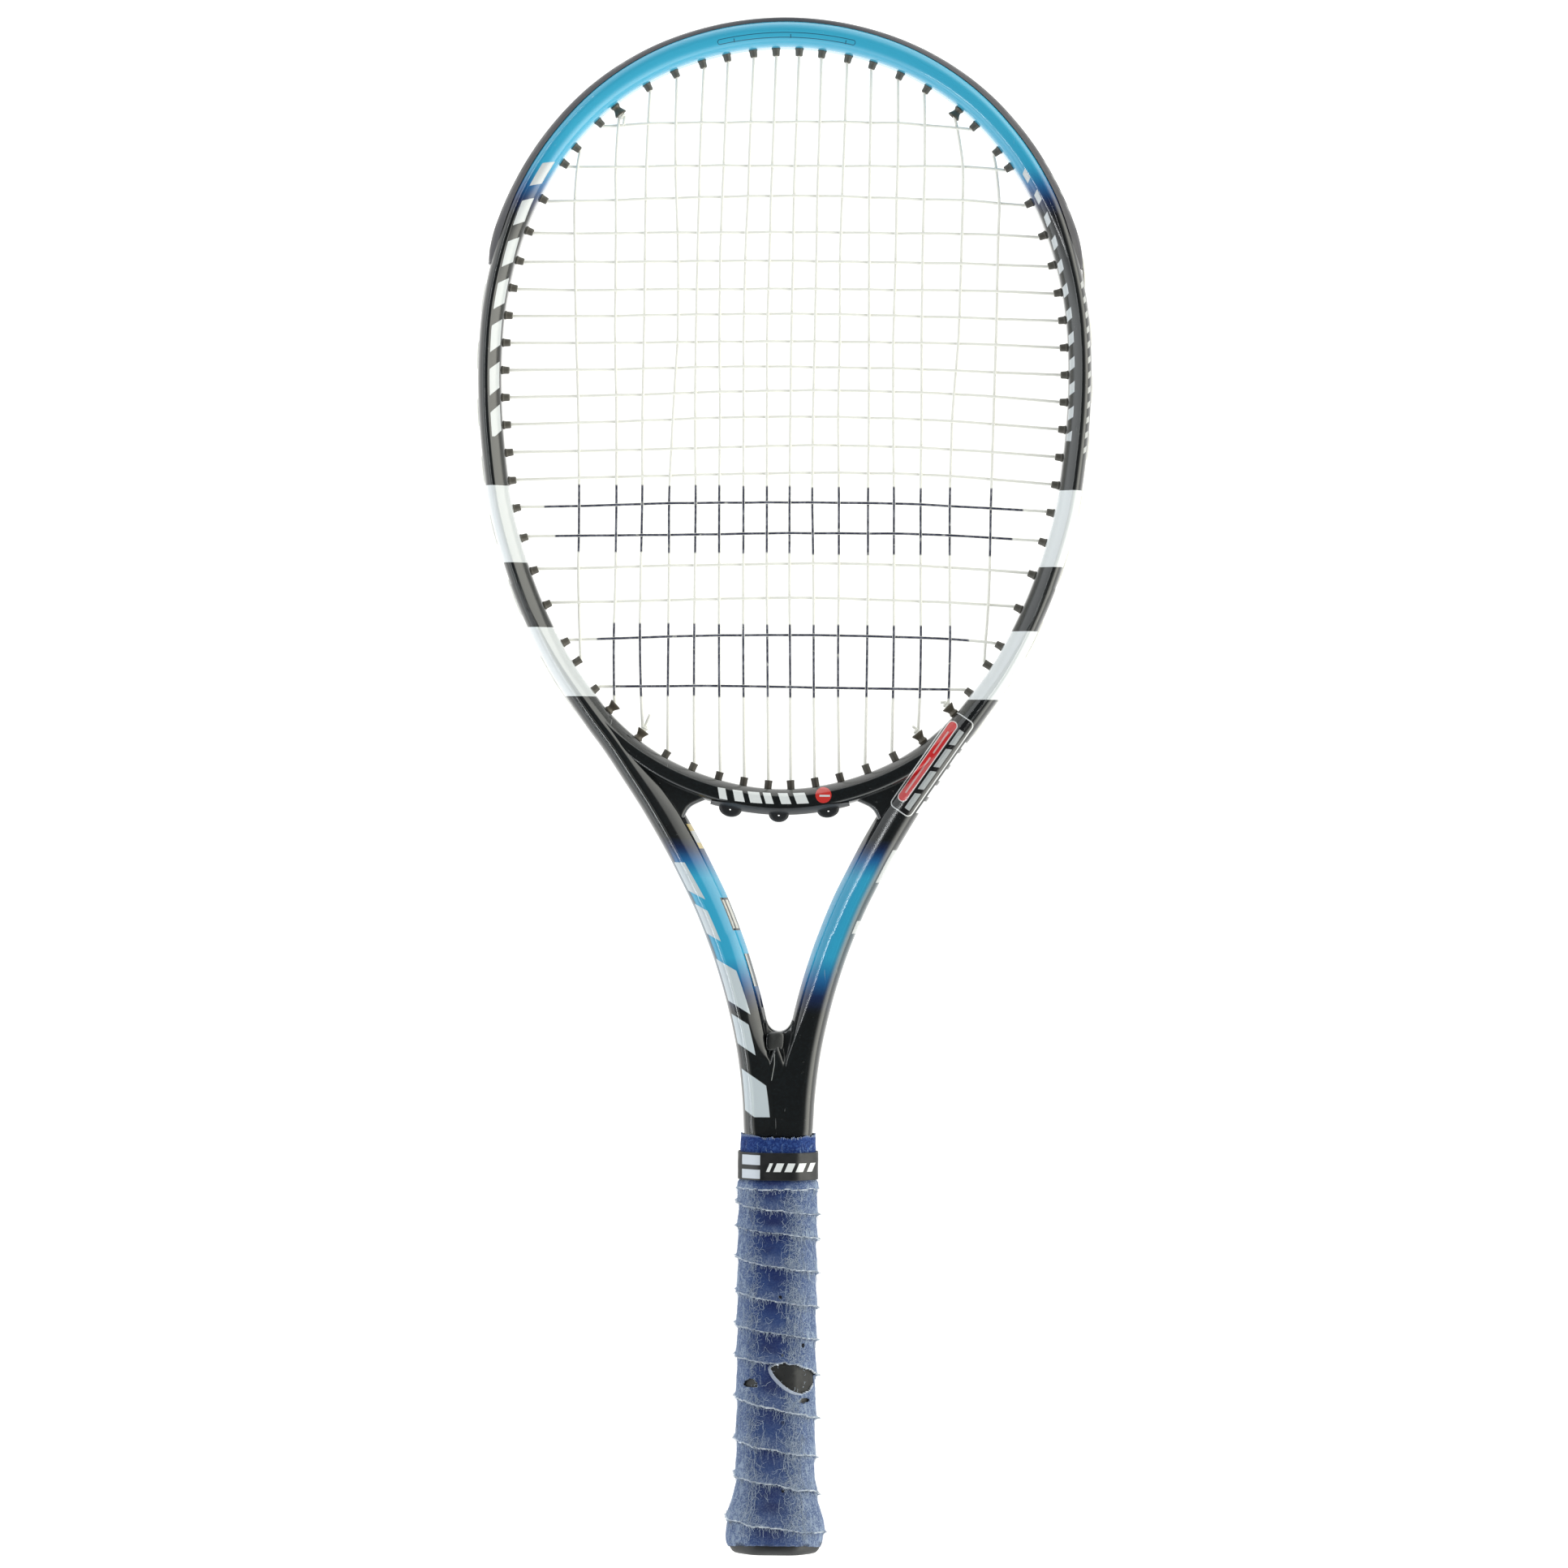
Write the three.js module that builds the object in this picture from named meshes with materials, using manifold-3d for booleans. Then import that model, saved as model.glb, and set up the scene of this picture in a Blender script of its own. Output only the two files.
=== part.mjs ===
// Junior tennis racket, millimetres, +Z up out of the string face.
// Origin: centre of the flat end of the butt cap. +Y runs up to the tip of the head, +X to the right.
import * as THREE from 'three';
import { mergeVertices } from 'three/addons/utils/BufferGeometryUtils.js';
import Module from 'manifold-3d';

const wasm = await Module();
wasm.setup();
const { Manifold, Mesh: MMesh } = wasm;

// ---------------------------------------------------------------- driving dimensions
const HEAD_Y = 491.1;            // centre of the head, from the butt end
const TUBE_W = 10.1;             // in-plane width of the hoop tube
const ARM_W = 15.0;              // in-plane width of each throat arm
const HOOP_B = 11.2;             // half depth of the hoop
const THROAT_B = 12.0;           // half depth at the shoulders
const GROOVE = 2.2;              // depth of the string groove in the outer edge
const GAP = 0.3;                 // clearance between touching pieces
const STRING_R = 0.62;           // string section, corner radius of the four-sided section
const BORE_R = 1.05;             // bore of a grommet barrel
const BARREL_R = 1.5;            // outside of a grommet barrel
const TIE_BORE_R = 1.95;         // bore of a tie-off grommet, which takes two strands
const TIE_BARREL_R = 2.5;
const PEG_OUT = 3.5;             // how far a barrel stands out of the inner wall
const BUMPER_DEG = 64;           // the bumper guard covers the head from -64 to +64 degrees
const BUMPER_H = 2.8;            // rails of the bumper guard stand this far out of the frame
const WEAVE = 1.25;              // height of a cross string where it passes a main
const GRIP_TOP = 179.5;          // top edge of the overgrip
const TAPE_Y = [159.9, 172.4];   // finishing tape

// inner edge of the head: radius about the head centre, every 10 degrees from the tip
const INNER_R = [447.8, 446.0, 440.8, 430.9, 416.0, 398.8, 381.5, 366.5, 354.5, 348.2, 348.2,
  355.4, 366.1, 382.6, 404.2, 428.9, 449.6, 461.4, 466.4].map(v => (v + 0.6) * 0.3483);
// outer edge of shoulders and arms: half width at each Y
const EDGE = [[83.42, 353.5], [78.2, 346.6], [73.3, 339.6], [68.7, 332.6], [64.1, 325.7], [59.6, 318.7],
  [55.4, 311.7], [51.4, 304.8], [47.5, 297.8], [43.9, 290.8], [40.4, 283.9], [37.0, 276.9], [34.0, 269.9],
  [31.3, 263.0], [28.7, 256.0], [26.4, 249.0], [24.3, 242.1], [22.4, 235.1], [20.7, 228.1], [19.2, 221.2],
  [17.9, 214.2], [16.9, 207.3], [16.1, 200.3], [15.5, 193.3]];

// ---------------------------------------------------------------- plane curves
const rad = d => d * Math.PI / 180;
function innerRadius(deg) {            // smooth periodic interpolation, mirror symmetric
  const d = Math.abs(((deg + 180) % 360 + 360) % 360 - 180);
  const f = d / 10, i = Math.min(17, Math.floor(f)), t = f - i;
  const g = k => INNER_R[k < 0 ? -k : k > 18 ? 36 - k : k];
  const [a, b, c, e] = [g(i - 1), g(i), g(i + 1), g(i + 2)];
  return b + 0.5 * t * (c - a + t * (2 * a - 5 * b + 4 * c - e + t * (3 * (b - c) + e - a)));
}
const innerPoint = deg => new THREE.Vector2(innerRadius(deg) * Math.sin(rad(deg)), HEAD_Y + innerRadius(deg) * Math.cos(rad(deg)));
function innerNormal(deg) {            // outward normal of the inner edge
  const a = innerPoint(deg - 0.5), b = innerPoint(deg + 0.5);
  const t = b.sub(a).normalize();
  return new THREE.Vector2(-t.y, t.x);
}
const lerpTable = (table, x) => {
  if (x <= table[0][0]) return table[0][1];
  for (let i = 1; i < table.length; i++) {
    if (x <= table[i][0]) {
      const [x0, y0] = table[i - 1], [x1, y1] = table[i];
      return y0 + (y1 - y0) * (x - x0) / (x1 - x0);
    }
  }
  return table[table.length - 1][1];
};
const hoopWidth = deg => lerpTable([[0, TUBE_W], [122, TUBE_W], [132, 10.4], [140, 10.7], [180, 10.7]], Math.abs(deg));

// outer edge of the right half, from the tip to the shaft, as one smooth curve
const edgeControl = [];
for (let d = 0; d <= 140; d += 10) {
  const p = innerPoint(d).add(innerNormal(d).multiplyScalar(hoopWidth(d)));
  edgeControl.push(new THREE.Vector3(d === 0 ? 0 : p.x, p.y, 0));
}
for (const [x, y] of EDGE) edgeControl.push(new THREE.Vector3(x, y, 0));
const edgeMirror = edgeControl.slice(1, 4).reverse().map(p => new THREE.Vector3(-p.x, p.y, 0));
const edgeCurve = new THREE.CatmullRomCurve3([...edgeMirror, ...edgeControl], false, 'centripetal');
edgeCurve.arcLengthDivisions = 2000;
const dense = edgeCurve.getSpacedPoints(2400).filter(p => p.x >= -0.3);
dense[0].x = 0;
const edge = dense.map((p, i) => {
  const a = dense[Math.max(0, i - 3)], b = dense[Math.min(dense.length - 1, i + 3)];
  const t = new THREE.Vector2(b.x - a.x, b.y - a.y).normalize();
  return { p: new THREE.Vector2(p.x, p.y), n: new THREE.Vector2(-t.y, t.x) };
});
edge[0].n.set(0, 1);
const edgeS = [0];
for (let i = 1; i < edge.length; i++) edgeS.push(edgeS[i - 1] + edge[i].p.distanceTo(edge[i - 1].p));
function edgeAt(s) {
  let i = edgeS.findIndex(v => v >= s);
  if (i < 0) i = edge.length - 1;
  if (i === 0) return { p: edge[0].p.clone(), n: edge[0].n.clone() };
  const t = (s - edgeS[i - 1]) / (edgeS[i] - edgeS[i - 1]);
  return { p: edge[i - 1].p.clone().lerp(edge[i].p, t), n: edge[i - 1].n.clone().lerp(edge[i].n, t).normalize() };
}
const edgeAngle = p => Math.atan2(p.x, p.y - HEAD_Y) * 180 / Math.PI;
function sAtAngle(deg) {
  let lo = 0, hi = edgeS[edgeS.length - 1];
  for (let k = 0; k < 40; k++) { const m = (lo + hi) / 2; (edgeAngle(edgeAt(m).p) < deg ? lo = m : hi = m); }
  return lo;
}
function sAtY(y) {                     // on the lower half of the edge
  let lo = sAtAngle(100), hi = edgeS[edgeS.length - 1];
  for (let k = 0; k < 40; k++) { const m = (lo + hi) / 2; (edgeAt(m).p.y > y ? lo = m : hi = m); }
  return lo;
}

// ---------------------------------------------------------------- solids
function toManifold(geometry) {
  const g = geometry.clone();
  for (const k of Object.keys(g.attributes)) if (k !== 'position') g.deleteAttribute(k);
  const m = mergeVertices(g, 1e-5);
  return new Manifold(new MMesh({
    numProp: 3,
    vertProperties: new Float32Array(m.attributes.position.array),
    triVerts: new Uint32Array(m.index.array),
  }));
}
function toGeometry(manifold) {
  const mesh = manifold.getMesh();
  const g = new THREE.BufferGeometry();
  g.setAttribute('position', new THREE.BufferAttribute(new Float32Array(mesh.vertProperties), 3));
  g.setIndex(new THREE.BufferAttribute(new Uint32Array(mesh.triVerts), 1));
  return g;
}
// skin over a row of closed rings with the same number of points, capped flat at both ends
function loft(rings) {
  const n = rings[0].length, pos = [], idx = [];
  for (const r of rings) for (const p of r) pos.push(p.x, p.y, p.z);
  for (let i = 0; i + 1 < rings.length; i++) {
    for (let j = 0; j < n; j++) {
      const a = i * n + j, b = i * n + (j + 1) % n, c = a + n, d = b + n;
      idx.push(a, b, d, a, d, c);
    }
  }
  const cap = (ring, base, flip) => {
    const c = ring.reduce((s, p) => s.add(p), new THREE.Vector3()).divideScalar(n);
    const nrm = new THREE.Vector3();
    for (let j = 0; j < n; j++) nrm.add(ring[j].clone().sub(c).cross(ring[(j + 1) % n].clone().sub(c)));
    nrm.normalize();
    const ux = ring[0].clone().sub(c).normalize(), uy = nrm.clone().cross(ux);
    const flat = ring.map(p => { const q = p.clone().sub(c); return new THREE.Vector2(q.dot(ux), q.dot(uy)); });
    for (const [a, b, d] of THREE.ShapeUtils.triangulateShape(flat, [])) {
      flip ? idx.push(base + a, base + d, base + b) : idx.push(base + a, base + b, base + d);
    }
  };
  cap(rings[0], 0, true);
  cap(rings[rings.length - 1], (rings.length - 1) * n, false);
  const g = new THREE.BufferGeometry();
  g.setAttribute('position', new THREE.Float32BufferAttribute(pos, 3));
  g.setIndex(idx);
  let m = toManifold(g);
  if (m.volume() < 0) {                // rings wound the other way
    const flipped = [];
    for (let i = 0; i < idx.length; i += 3) flipped.push(idx[i], idx[i + 2], idx[i + 1]);
    g.setIndex(flipped);
    m = toManifold(g);
  }
  return m;
}
function rod(a, b, r, sides, turn = 0) {   // straight prism from a to b
  const g = new THREE.CylinderGeometry(r, r, a.distanceTo(b), sides, 1);
  if (turn) g.rotateY(turn);
  const dir = b.clone().sub(a).normalize();
  const side = new THREE.Vector3(0, 0, 1), x = dir.clone().cross(side);
  const m = new THREE.Matrix4().makeBasis(x, dir, side);
  g.applyMatrix4(m);
  const mid = a.clone().add(b).multiplyScalar(0.5);
  g.translate(mid.x, mid.y, mid.z);
  return toManifold(g);
}
const unite = list => list.reduce((a, b) => a.add(b));
const v3 = (p, z = 0) => new THREE.Vector3(p.x, p.y, z);

// one ring of a section: list of [u, w], u outward from an edge point along its normal, w along Z
const ringAt = (p, n, section) => section.map(([u, w]) => new THREE.Vector3(p.x + n.x * u, p.y + n.y * u, w));
const mirrorRing = ring => ring.map(p => new THREE.Vector3(-p.x, p.y, p.z));
const bothSides = half => [...half, ...half.slice().reverse().map(([u, w]) => [u, -w])];

const tubeSection = (W, b, g) => bothSides([[-g, 2.4], [0, 3.2], [-0.35, 0.55 * b], [-0.27 * W, b],
  [-0.68 * W, b], [-0.95 * W, 0.5 * b], [-W, 0.15 * b]]);

// ---------------------------------------------------------------- frame
const sBump = sAtAngle(BUMPER_DEG), sStripEnd = sAtY(314.5), sArm = sAtY(308), sEnd = edgeS[edgeS.length - 1];
const widthTable = [[0, TUBE_W], [sAtAngle(122), TUBE_W], [sAtAngle(140), 10.7], [sAtY(340), 12.2], [sAtY(312), ARM_W], [sEnd, ARM_W]];
const depthTable = [[0, HOOP_B], [sAtAngle(120), HOOP_B], [sAtAngle(150), THROAT_B], [sAtY(290), THROAT_B], [sAtY(225), 11.3], [sEnd, 10.8]];
const grooveTable = [[0, GROOVE], [sStripEnd + 1.5, GROOVE], [sArm, 0.12], [sEnd, 0.12]];
const halfStations = [];
const sList = [];
for (let s = 0; s < sStripEnd + 1.4; s += (sStripEnd + 1.5) / 30) sList.push(s);
sList.push(sStripEnd + 1.5, sArm);
for (let k = 1; k <= 8; k++) sList.push(sArm + (sEnd - sArm) * k / 8);
for (const s of sList) {
  const { p, n } = edgeAt(s);
  halfStations.push(ringAt(p, n, tubeSection(lerpTable(widthTable, s), lerpTable(depthTable, s), lerpTable(grooveTable, s))));
}
const hairpin = loft([...halfStations.slice(1).reverse().map(mirrorRing), ...halfStations]);

// bridge: carries the ring of the head across the throat
const bridgeRings = [];
for (let k = 0; k <= 16; k++) {
  const d = 138 + (222 - 138) * k / 16;
  const p = innerPoint(d), n = innerNormal(d), W = 10.35;
  const edgePt = p.clone().add(n.clone().multiplyScalar(W + 0.12));
  const g = Math.abs(p.x) < 32 ? GROOVE : Math.abs(d - 180) > 24 ? 3.4 : 0.12;   // stays clear of the hoop's groove
  bridgeRings.push(ringAt(edgePt, n, tubeSection(W, HOOP_B - 0.15, g)));
}
const bridge = loft(bridgeRings);

// recessed web between ring and arm, with the rounded upper corner of the throat opening
const webRight = [[35.6, 321.9], [37.9, 321.2], [40, 319.2], [41.5, 316.2], [46, 311], [57, 322], [67, 337], [71, 351], [64, 348], [45, 332], [35.6, 327.5]];
function plate(points, zHalf) {
  const shape = new THREE.Shape(points.map(([x, y]) => new THREE.Vector2(x, y)));
  const g = new THREE.ExtrudeGeometry(shape, { depth: 2 * zHalf, bevelEnabled: false });
  g.translate(0, 0, -zHalf);
  return toManifold(g);
}
const webs = plate(webRight, 8.6).add(plate(webRight.map(([x, y]) => [-x, y]).reverse(), 8.6));

// shaft: the two arms merge and run down through the handle
const shaftRows = [[223.6, 18.6, 11.0], [214.2, 17.7, 10.9], [207.3, 16.8, 10.7], [200.3, 16.1, 10.6], [193.3, 15.5, 10.5],
  [186.3, 15.1, 10.4], [181.2, 15.0, 10.4], [178.4, 11.0, 8.0], [3.6, 11.0, 8.0]];
const shaft = loft(shaftRows.map(([y, w, d]) => {
  const half = [[w, 0.42 * d], [0.66 * w, d], [1.1, d], [0, d - 1.1], [-1.1, d], [-0.66 * w, d], [-w, 0.42 * d]];
  const full = [...half, ...half.slice().reverse().map(([x, z]) => [x, -z])];
  return full.map(([x, z]) => new THREE.Vector3(x, y, z));
}));
let frameSolid = unite([hairpin, bridge, webs, shaft]);

// ---------------------------------------------------------------- string holes
const MAIN_TOP = [1.85, 5.5, 9.75, 13.8, 18.5, 23.4, 29.6, 38.95];
const MAIN_BOTTOM = [178.35, 174.55, 170.65, 166.35, 161.7, 156.6, 150.15, 140.65];
const CROSS = [33.3, 42.3, 49.35, 55.5, 61.1, 66.3, 71.55, 76.85, 82.25, 87.75, 93.35, 99.05, 104.7, 110.3, 116.3, 122.8, 129.5, 136.8, 146.05];
const EXIT_Y = { b7: 351.8, b6: 341.0, b5: 329.8, b4: 318.6 };   // oblique holes through the shoulders
const TIE = ['Lt7', 'Lb6', 'Rb6', 'Rb7'];

const holes = {};
function addHole(side, code, deg) {
  const wall = innerPoint(deg), n = innerNormal(deg);
  let exit, exitN;
  const onBridge = deg > 168;
  if (EXIT_Y[code]) {
    const e = edgeAt(sAtY(EXIT_Y[code]));
    exit = e.p; exitN = e.n;
  } else if (onBridge) {
    exit = wall.clone().add(n.clone().multiplyScalar(10.47)); exitN = n.clone();
  } else {
    exit = wall.clone().add(n.clone().multiplyScalar(hoopWidth(deg))); exitN = n.clone();
  }
  const dir = wall.clone().sub(exit).normalize();      // towards the inside of the head
  const lead = Math.abs(dir.dot(exitN));
  const tip = wall.clone().add(dir.clone().multiplyScalar(EXIT_Y[code] ? PEG_OUT + 0.8 : PEG_OUT));
  const zone = onBridge ? 'bridge' : deg < BUMPER_DEG ? 'bumper' : 'side';
  const run = zone === 'bumper' ? 2.02 : 0.1;          // string height over the outer edge
  const h = { zone, dir, tip, wall, exit, exitN, lead, tie: TIE.includes(side + code), deg };
  h.seat = exit.clone().add(dir.clone().multiplyScalar(1.45 / lead));
  h.out = exit.clone().sub(dir.clone().multiplyScalar(4 / lead));
  h.runAt = up => exit.clone().sub(dir.clone().multiplyScalar((run + up) / lead));
  h.turn = tip.clone().add(dir.clone().multiplyScalar(EXIT_Y[code] ? 0.9 : 0.45));
  if (side === 'L') for (const k of ['tip', 'wall', 'exit', 'seat', 'out', 'turn', 'dir', 'exitN']) h[k] = new THREE.Vector2(-h[k].x, h[k].y);
  if (side === 'L') { const r = h.runAt; h.runAt = up => { const q = r(up); return new THREE.Vector2(-q.x, q.y); }; }
  holes[side + code] = h;
}
for (const side of ['L', 'R']) {
  MAIN_TOP.forEach((d, i) => addHole(side, 't' + (i + 1), d));
  MAIN_BOTTOM.forEach((d, i) => addHole(side, 'b' + (i + 1), d));
  CROSS.forEach((d, i) => addHole(side, 'c' + (i + 1), d));
}
const drill = (h, r, from, to, turn = 0) => rod(v3(from), v3(to), r, 6, turn);
const hexTurn = 0;
frameSolid = frameSolid.subtract(unite(Object.values(holes).map(h => drill(h, h.tie ? 3.25 : 2.06,
  h.out, h.turn, hexTurn))));

// ---------------------------------------------------------------- grommet strips and bumper guard
const barrelOf = h => rod(v3(h.seat), v3(h.tip), h.tie ? TIE_BARREL_R : BARREL_R, 6);
const boreOf = h => rod(v3(h.out), v3(h.tip.clone().add(h.dir.clone().multiplyScalar(1))), h.tie ? TIE_BORE_R : BORE_R, 6);
function withBarrels(base, list) {
  return unite([base, ...list.map(barrelOf)]).subtract(unite(list.map(boreOf)));
}
const zoneHoles = (zone, side) => Object.entries(holes).filter(([k, h]) => h.zone === zone && (!side || k[0] === side)).map(([, h]) => h);

const bumperSection = h => bothSides([[1.1, 2.7], [h, 3.2], [h, 5.0], [Math.min(1.4, h), 6.8], [0.0, 6.6], [0.34, 2.75], [-1.9, 1.95]]);
const bumperHalf = [];
const bumperSteps = 15;
for (let k = 0; k <= bumperSteps; k++) {
  const s = sBump * k / bumperSteps;
  const { p, n } = edgeAt(s);
  bumperHalf.push(ringAt(p, n, bumperSection(k === bumperSteps ? 1.5 : k === bumperSteps - 1 ? 2.3 : BUMPER_H)));
}
const bumper = withBarrels(loft([...bumperHalf.slice(1).reverse().map(mirrorRing), ...bumperHalf]), zoneHoles('bumper'));

const stripSection = bothSides([[-0.9, 2.2], [-1.9, 1.95]]);
const stripRings = [];
for (let k = 0; k <= 21; k++) {
  const s = sAtAngle(BUMPER_DEG + 0.7) + (sStripEnd - sAtAngle(BUMPER_DEG + 0.7)) * k / 21;
  const { p, n } = edgeAt(s);
  stripRings.push(ringAt(p, n, stripSection));
}
const sideRight = withBarrels(loft(stripRings), zoneHoles('side', 'R'));
const sideLeft = withBarrels(loft(stripRings.map(mirrorRing)), zoneHoles('side', 'L'));

// bridge strip: base in the groove, a flange on each face side and half-round saddles that guard the string loops
const bridgeStripRings = [];
for (let k = 0; k <= 8; k++) {
  const d = 168.6 + (191.4 - 168.6) * k / 8;
  const p = innerPoint(d), n = innerNormal(d);
  bridgeStripRings.push(ringAt(p.clone().add(n.clone().multiplyScalar(10.47)), n,
    bothSides([[-0.9, 1.3], [0.75, 1.9], [0.95, 6.0], [0.32, 6.0], [0.32, 2.85], [-1.9, 1.95]])));
}
let bridgeStrip = loft(bridgeStripRings);
for (const d of [172.6, 180, 187.4]) {
  const p = innerPoint(d), n = innerNormal(d);
  const c = p.clone().add(n.clone().multiplyScalar(10.47 - 0.2));
  const disc = new THREE.CylinderGeometry(4.9, 4.9, 2.6, 12);
  disc.rotateX(Math.PI / 2);
  for (const z of [4.65, -4.65]) {
    const g = disc.clone();
    g.translate(c.x, c.y, z);
    // only the half that stands out of the strip
    const keep = new THREE.BoxGeometry(14, 14, 8);
    keep.translate(0, -7 - 0.35, 0);
    keep.rotateZ(Math.atan2(n.x, -n.y));
    keep.translate(c.x, c.y, z);
    bridgeStrip = bridgeStrip.add(toManifold(g).intersect(toManifold(keep)));
  }
}
bridgeStrip = withBarrels(bridgeStrip, zoneHoles('bridge'));

// ---------------------------------------------------------------- strings
// centre lines of the mains: half distance from the axis at four heights, and the crosses' heights at three offsets
const MAIN_X = [[588.6, [14, 42.5, 74, 105, 136.5, 172, 214.5, 262.5]], [516.0, [14.7, 43.5, 73.8, 107.2, 135.5, 172, 210, 258]],
  [453.8, [14, 42.5, 74, 106.5, 139, 172, 206, 254.5]], [382.4, [14, 43.5, 73.5, 107, 139.5, 174, 208.5, 252]]]
  .map(([y, xs]) => [y, xs.map(x => x * 0.3483)]);
const CROSS_Y0 = [148, 202, 239, 284, 319, 354, 385, 419, 450, 480, 512, 548, 582, 618, 656, 694, 736, 782, 846];
const CROSS_Y1 = [150, 202, 242, 285, 321, 355, 387, 420.5, 452.5, 483, 515.5, 550, 584, 619, 657.5, 696, 739.5, 784.5, 847];
const CROSS_Y2 = [150, 205, 244, 286, 322, 356, 389, 421, 455, 486, 519, 554, 587, 623, 660, 699.5, 742, 787.5, 847.5];
const rowY = y => (1915 - y) * 0.3483;
function mainX(i, side, y) {          // x of main i (1..8) at height y
  const top = holes[side + 't' + i].turn, bot = holes[side + 'b' + i].turn;
  const pts = [[bot.y, Math.abs(bot.x)]];
  for (const [yy, xs] of MAIN_X.slice().reverse()) if (yy > bot.y + 8 && yy < top.y - 8) pts.push([yy, xs[i - 1]]);
  pts.push([top.y, Math.abs(top.x)]);
  return (side === 'L' ? -1 : 1) * lerpTable(pts, y);
}
function crossY(i, x) {               // height of cross i (1..19) at x
  const end = holes['Rc' + i].turn;
  const pts = [[0, rowY(CROSS_Y0[i - 1])], [54, rowY(CROSS_Y1[i - 1])]];
  if (end.x > 92) pts.push([80, rowY(CROSS_Y2[i - 1])]);
  pts.push([end.x, end.y]);
  return lerpTable(pts, Math.abs(x));
}
function sweep(points, r) {           // four-sided string along a polyline, mitred at each point
  const P = [points[0]];
  for (const p of points) if (p.distanceTo(P[P.length - 1]) > 0.05) P.push(p);
  const e = r * Math.SQRT1_2, rings = [];
  for (let i = 0; i < P.length; i++) {
    const d0 = i ? P[i].clone().sub(P[i - 1]).normalize() : null;
    const d1 = i + 1 < P.length ? P[i + 1].clone().sub(P[i]).normalize() : null;
    const t = (d0 && d1 ? d0.clone().add(d1) : (d0 || d1).clone()).normalize();
    const side = t.clone().cross(new THREE.Vector3(0, 0, 1)).normalize();
    const up = side.clone().cross(t);
    const k = e / Math.max(0.55, t.dot(d0 || d1));
    rings.push([[1, 1], [-1, 1], [-1, -1], [1, -1]].map(([a, b]) =>
      P[i].clone().add(side.clone().multiplyScalar(a * k)).add(up.clone().multiplyScalar(b * e))));
  }
  return loft(rings);
}
const out3 = (k, z = 0, up = 0) => v3(holes[k].runAt(up), z);
const turn3 = (k, z = 0) => v3(holes[k].turn, z);
const inHole = (k, z = 0) => v3(holes[k].tip.clone().sub(holes[k].dir.clone().multiplyScalar(1.2)), z);
function mainRun(i, side, fromTop, zStart = 0, zEnd = 0) {
  const a = holes[side + (fromTop ? 't' : 'b') + i].turn, b = holes[side + (fromTop ? 'b' : 't') + i].turn;
  const ys = MAIN_X.map(r => r[0]).filter(y => y > Math.min(a.y, b.y) + 8 && y < Math.max(a.y, b.y) - 8);
  if (!fromTop) ys.reverse();
  const pts = [v3(a, zStart)];
  for (const y of ys) pts.push(new THREE.Vector3(mainX(i, side, y), y, 0));
  pts.push(v3(b, zEnd));
  return pts;
}
const M = [];
// left tie-off, outer main, then zig-zag through the left half
const topZ = k => (k === 'Lt7' ? 0.95 : 0);
const botZ = k => ({ Lb6: -0.95, Rb6: -0.95, Rb7: -0.95 }[k] || 0);
const knotAt = (k, z, back) => v3(holes[k].turn.clone().add(new THREE.Vector2(0, back)), z);
M.push(knotAt('Lb6', 0.6, 2.2), turn3('Lb6', 0.95), out3('Lb6', 0.95), out3('Lb7', 1.6), out3('Lc19', 1.6), out3('Lb8', 0));
for (const side of ['L', 'R']) {
  const order = side === 'L' ? [8, 7, 6, 5, 4, 3, 2, 1] : [1, 2, 3, 4, 5, 6, 7, 8];
  order.forEach((i, n) => {
    const fromTop = side === 'L' ? i % 2 === 1 : i % 2 === 0;
    const kTop = side + 't' + i, kBot = side + 'b' + i;
    const first = fromTop ? kTop : kBot, last = fromTop ? kBot : kTop;
    const zf = fromTop ? topZ(kTop) : botZ(kBot), zl = fromTop ? botZ(kBot) : topZ(kTop);
    if (!(side === 'L' && i === 8)) M.push(out3(first, zf));
    M.push(...mainRun(i, side, fromTop, zf, zl));
    M.push(out3(last, zl));
    // strands that pass another hole outside the frame step aside
    if (last === 'Lt8') M.push(out3('Lc1', 1.6));
    if (last === 'Rt7') M.push(out3('Rc1', 1.6));
  });
}
M.push(out3('Rc19', -1.6), out3('Rb7', 0, 1.6), out3('Rb6', 0.95), turn3('Rb6', 0.95), knotAt('Rb6', 0.6, 2.2));
let mainString = sweep(M, STRING_R);
const ball = (c, r, sy = 1) => { const g = new THREE.IcosahedronGeometry(r, 1); g.scale(1, sy, 0.9); g.translate(c.x, c.y, c.z); return toManifold(g); };
mainString = unite([mainString, ball(knotAt('Lb6', 0, 2.4), 1.9, 0.9), ball(knotAt('Rb6', 0, 2.4), 1.9, 0.9)]);

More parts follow.
